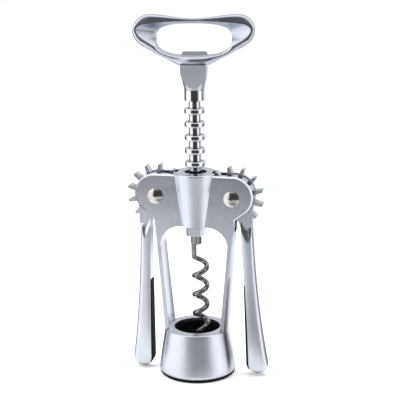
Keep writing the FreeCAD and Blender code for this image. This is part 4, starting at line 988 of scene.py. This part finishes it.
def dark_sides(tree, direction):
    """Shares of the room's front, the table's front, the back and the flags, and the height."""
    parts = node(tree, "ShaderNodeSeparateXYZ", inputs={"Vector": direction}).socket.node
    across = Wire(tree, parts.outputs[0])
    along = Wire(tree, parts.outputs[1])
    turned_x = across * math.cos(CAMERA_AZIMUTH) + along * math.sin(CAMERA_AZIMUTH)
    turned_y = along * math.cos(CAMERA_AZIMUTH) - across * math.sin(CAMERA_AZIMUTH)
    angle = turned_x.math("ARCTAN2", turned_x, -1 * turned_y)
    return {
        "room": sector(angle, *ROOM_FRONT),
        "table": sector(angle, *TABLE_FRONT),
        "back": 1 - sector(angle, *LIT_SIDES),
        "flags": sector(angle, *RIGHT_FLAG) * 0.8 + sector(angle, *LEFT_FLAG) * 0.85,
        "up": Wire(tree, parts.outputs[2]),
    }


def make_room():
    """World that is white to the camera, and a tent with a dark front to shiny surfaces."""
    world = bpy.data.worlds.new("studio_room")
    world.use_nodes = True
    tree = world.node_tree
    tree.nodes.clear()
    direction = node(tree, "ShaderNodeTexCoord", output=0)
    dark = dark_sides(tree, direction)
    low = dark["up"].ramp(0.55, 0.8, 1.0, 0.0)
    ceiling = dark["up"].ramp(0.8, 0.97, 1.0, 0.0)
    sides = dark["back"] * 0.5 + dark["flags"] * 0.65
    level = 1 - dark["room"] * (low * 0.56 + ceiling * 0.4) - sides * ceiling
    mirrored = node(tree, "ShaderNodeCombineColor", inputs={
        0: level * ROOM_STRENGTH, 1: level * ROOM_STRENGTH, 2: level * ROOM_BLUE})
    paths = node(tree, "ShaderNodeLightPath").socket.node.outputs
    glossy = Wire(tree, paths["Is Glossy Ray"])
    camera_ray = Wire(tree, paths["Is Camera Ray"])
    colour = mix_colour(tree, glossy, (0.8, 0.8, 0.8, 1), mirrored)
    colour = mix_colour(tree, camera_ray, colour, (1, 1, 1, 1))
    background = node(tree, "ShaderNodeBackground", inputs={"Color": colour, "Strength": 1.0})
    out = tree.nodes.new("ShaderNodeOutputWorld")
    tree.links.new(background.socket, out.inputs["Surface"])
    bpy.context.scene.world = world


def make_floor():
    """Wide pale floor under the object."""
    half = FLOOR_HALF_WIDTH
    corners = [(-half, -half, 0), (half, -half, 0), (half, half, 0), (-half, half, 0)]
    mesh = bpy.data.meshes.new("studio_floor")
    mesh.from_pydata(corners, [], [range(4)])
    floor = bpy.data.objects.new("studio_floor", mesh)
    bpy.context.scene.collection.objects.link(floor)
    material, tree = new_material("pale_floor")
    place = node(tree, "ShaderNodeNewGeometry", output=0)
    dark = dark_sides(tree, place)
    distance = node(tree, "ShaderNodeVectorMath", {"operation": "LENGTH"}, {0: place}, output=1)
    near = distance.ramp(0.03, 0.06)
    middle = distance.ramp(0.12, 0.18)
    far = distance.ramp(0.30, 0.39)
    table = dark["table"] * (near * 0.7 - middle * 0.3) * (1 - far)
    level = 1 - table - dark["room"] * far * 0.96 - dark["back"] * far * 0.5 - dark["flags"] * near
    # Painted shadow: what shiny surfaces see of the floor is darkened by occlusion close under and beside
    # the object.
    level = level * occlusion_shade(tree, 40.0).ramp(0.0, 1.0, 0.2, 1.0)
    mirrored = node(tree, "ShaderNodeCombineColor", inputs={0: level, 1: level, 2: level})
    shown = node(tree, "ShaderNodeEmission", inputs={"Color": mirrored, "Strength": FLOOR_STRENGTH})
    matte = node(tree, "ShaderNodeBsdfDiffuse", inputs={"Color": (0.9, 0.9, 0.9, 1)})
    glow = node(tree, "ShaderNodeEmission", inputs={"Color": (1, 1, 1, 1), "Strength": 0.22})
    lit = node(tree, "ShaderNodeAddShader", inputs={0: matte, 1: glow})
    paths = node(tree, "ShaderNodeLightPath").socket.node.outputs
    glossy = Wire(tree, paths["Is Glossy Ray"])
    shader = node(tree, "ShaderNodeMixShader", inputs={0: glossy, 1: lit, 2: shown})
    finish_material(tree, shader)
    mesh.materials.append(material)


def add_softbox(name, place, size, power):
    """Square area light aimed at the middle of the object."""
    data = bpy.data.lights.new(name, "AREA")
    data.shape = "RECTANGLE"
    data.size, data.size_y = size
    data.energy = power
    lamp = bpy.data.objects.new(name, data)
    bpy.context.scene.collection.objects.link(lamp)
    aim = Vector((0, 0, 0.09)) - Vector(place)
    lamp.location = place
    lamp.rotation_euler = aim.to_track_quat("-Z", "Y").to_euler()
    lamp.visible_camera = False
    lamp.visible_glossy = False


make_room()
make_floor()
add_softbox("left_softbox", (-0.9, -0.5, 0.7), (0.7, 0.9), 9.0)
add_softbox("top_softbox", (0.1, 0.2, 1.1), (0.8, 0.8), 8.0)
print("studio ready")

# %% [markdown]
# ## Colour and closing
#
# Standard view shows each colour about as it was written.

# %% Close
bpy.context.scene.view_settings.view_transform = "Standard"
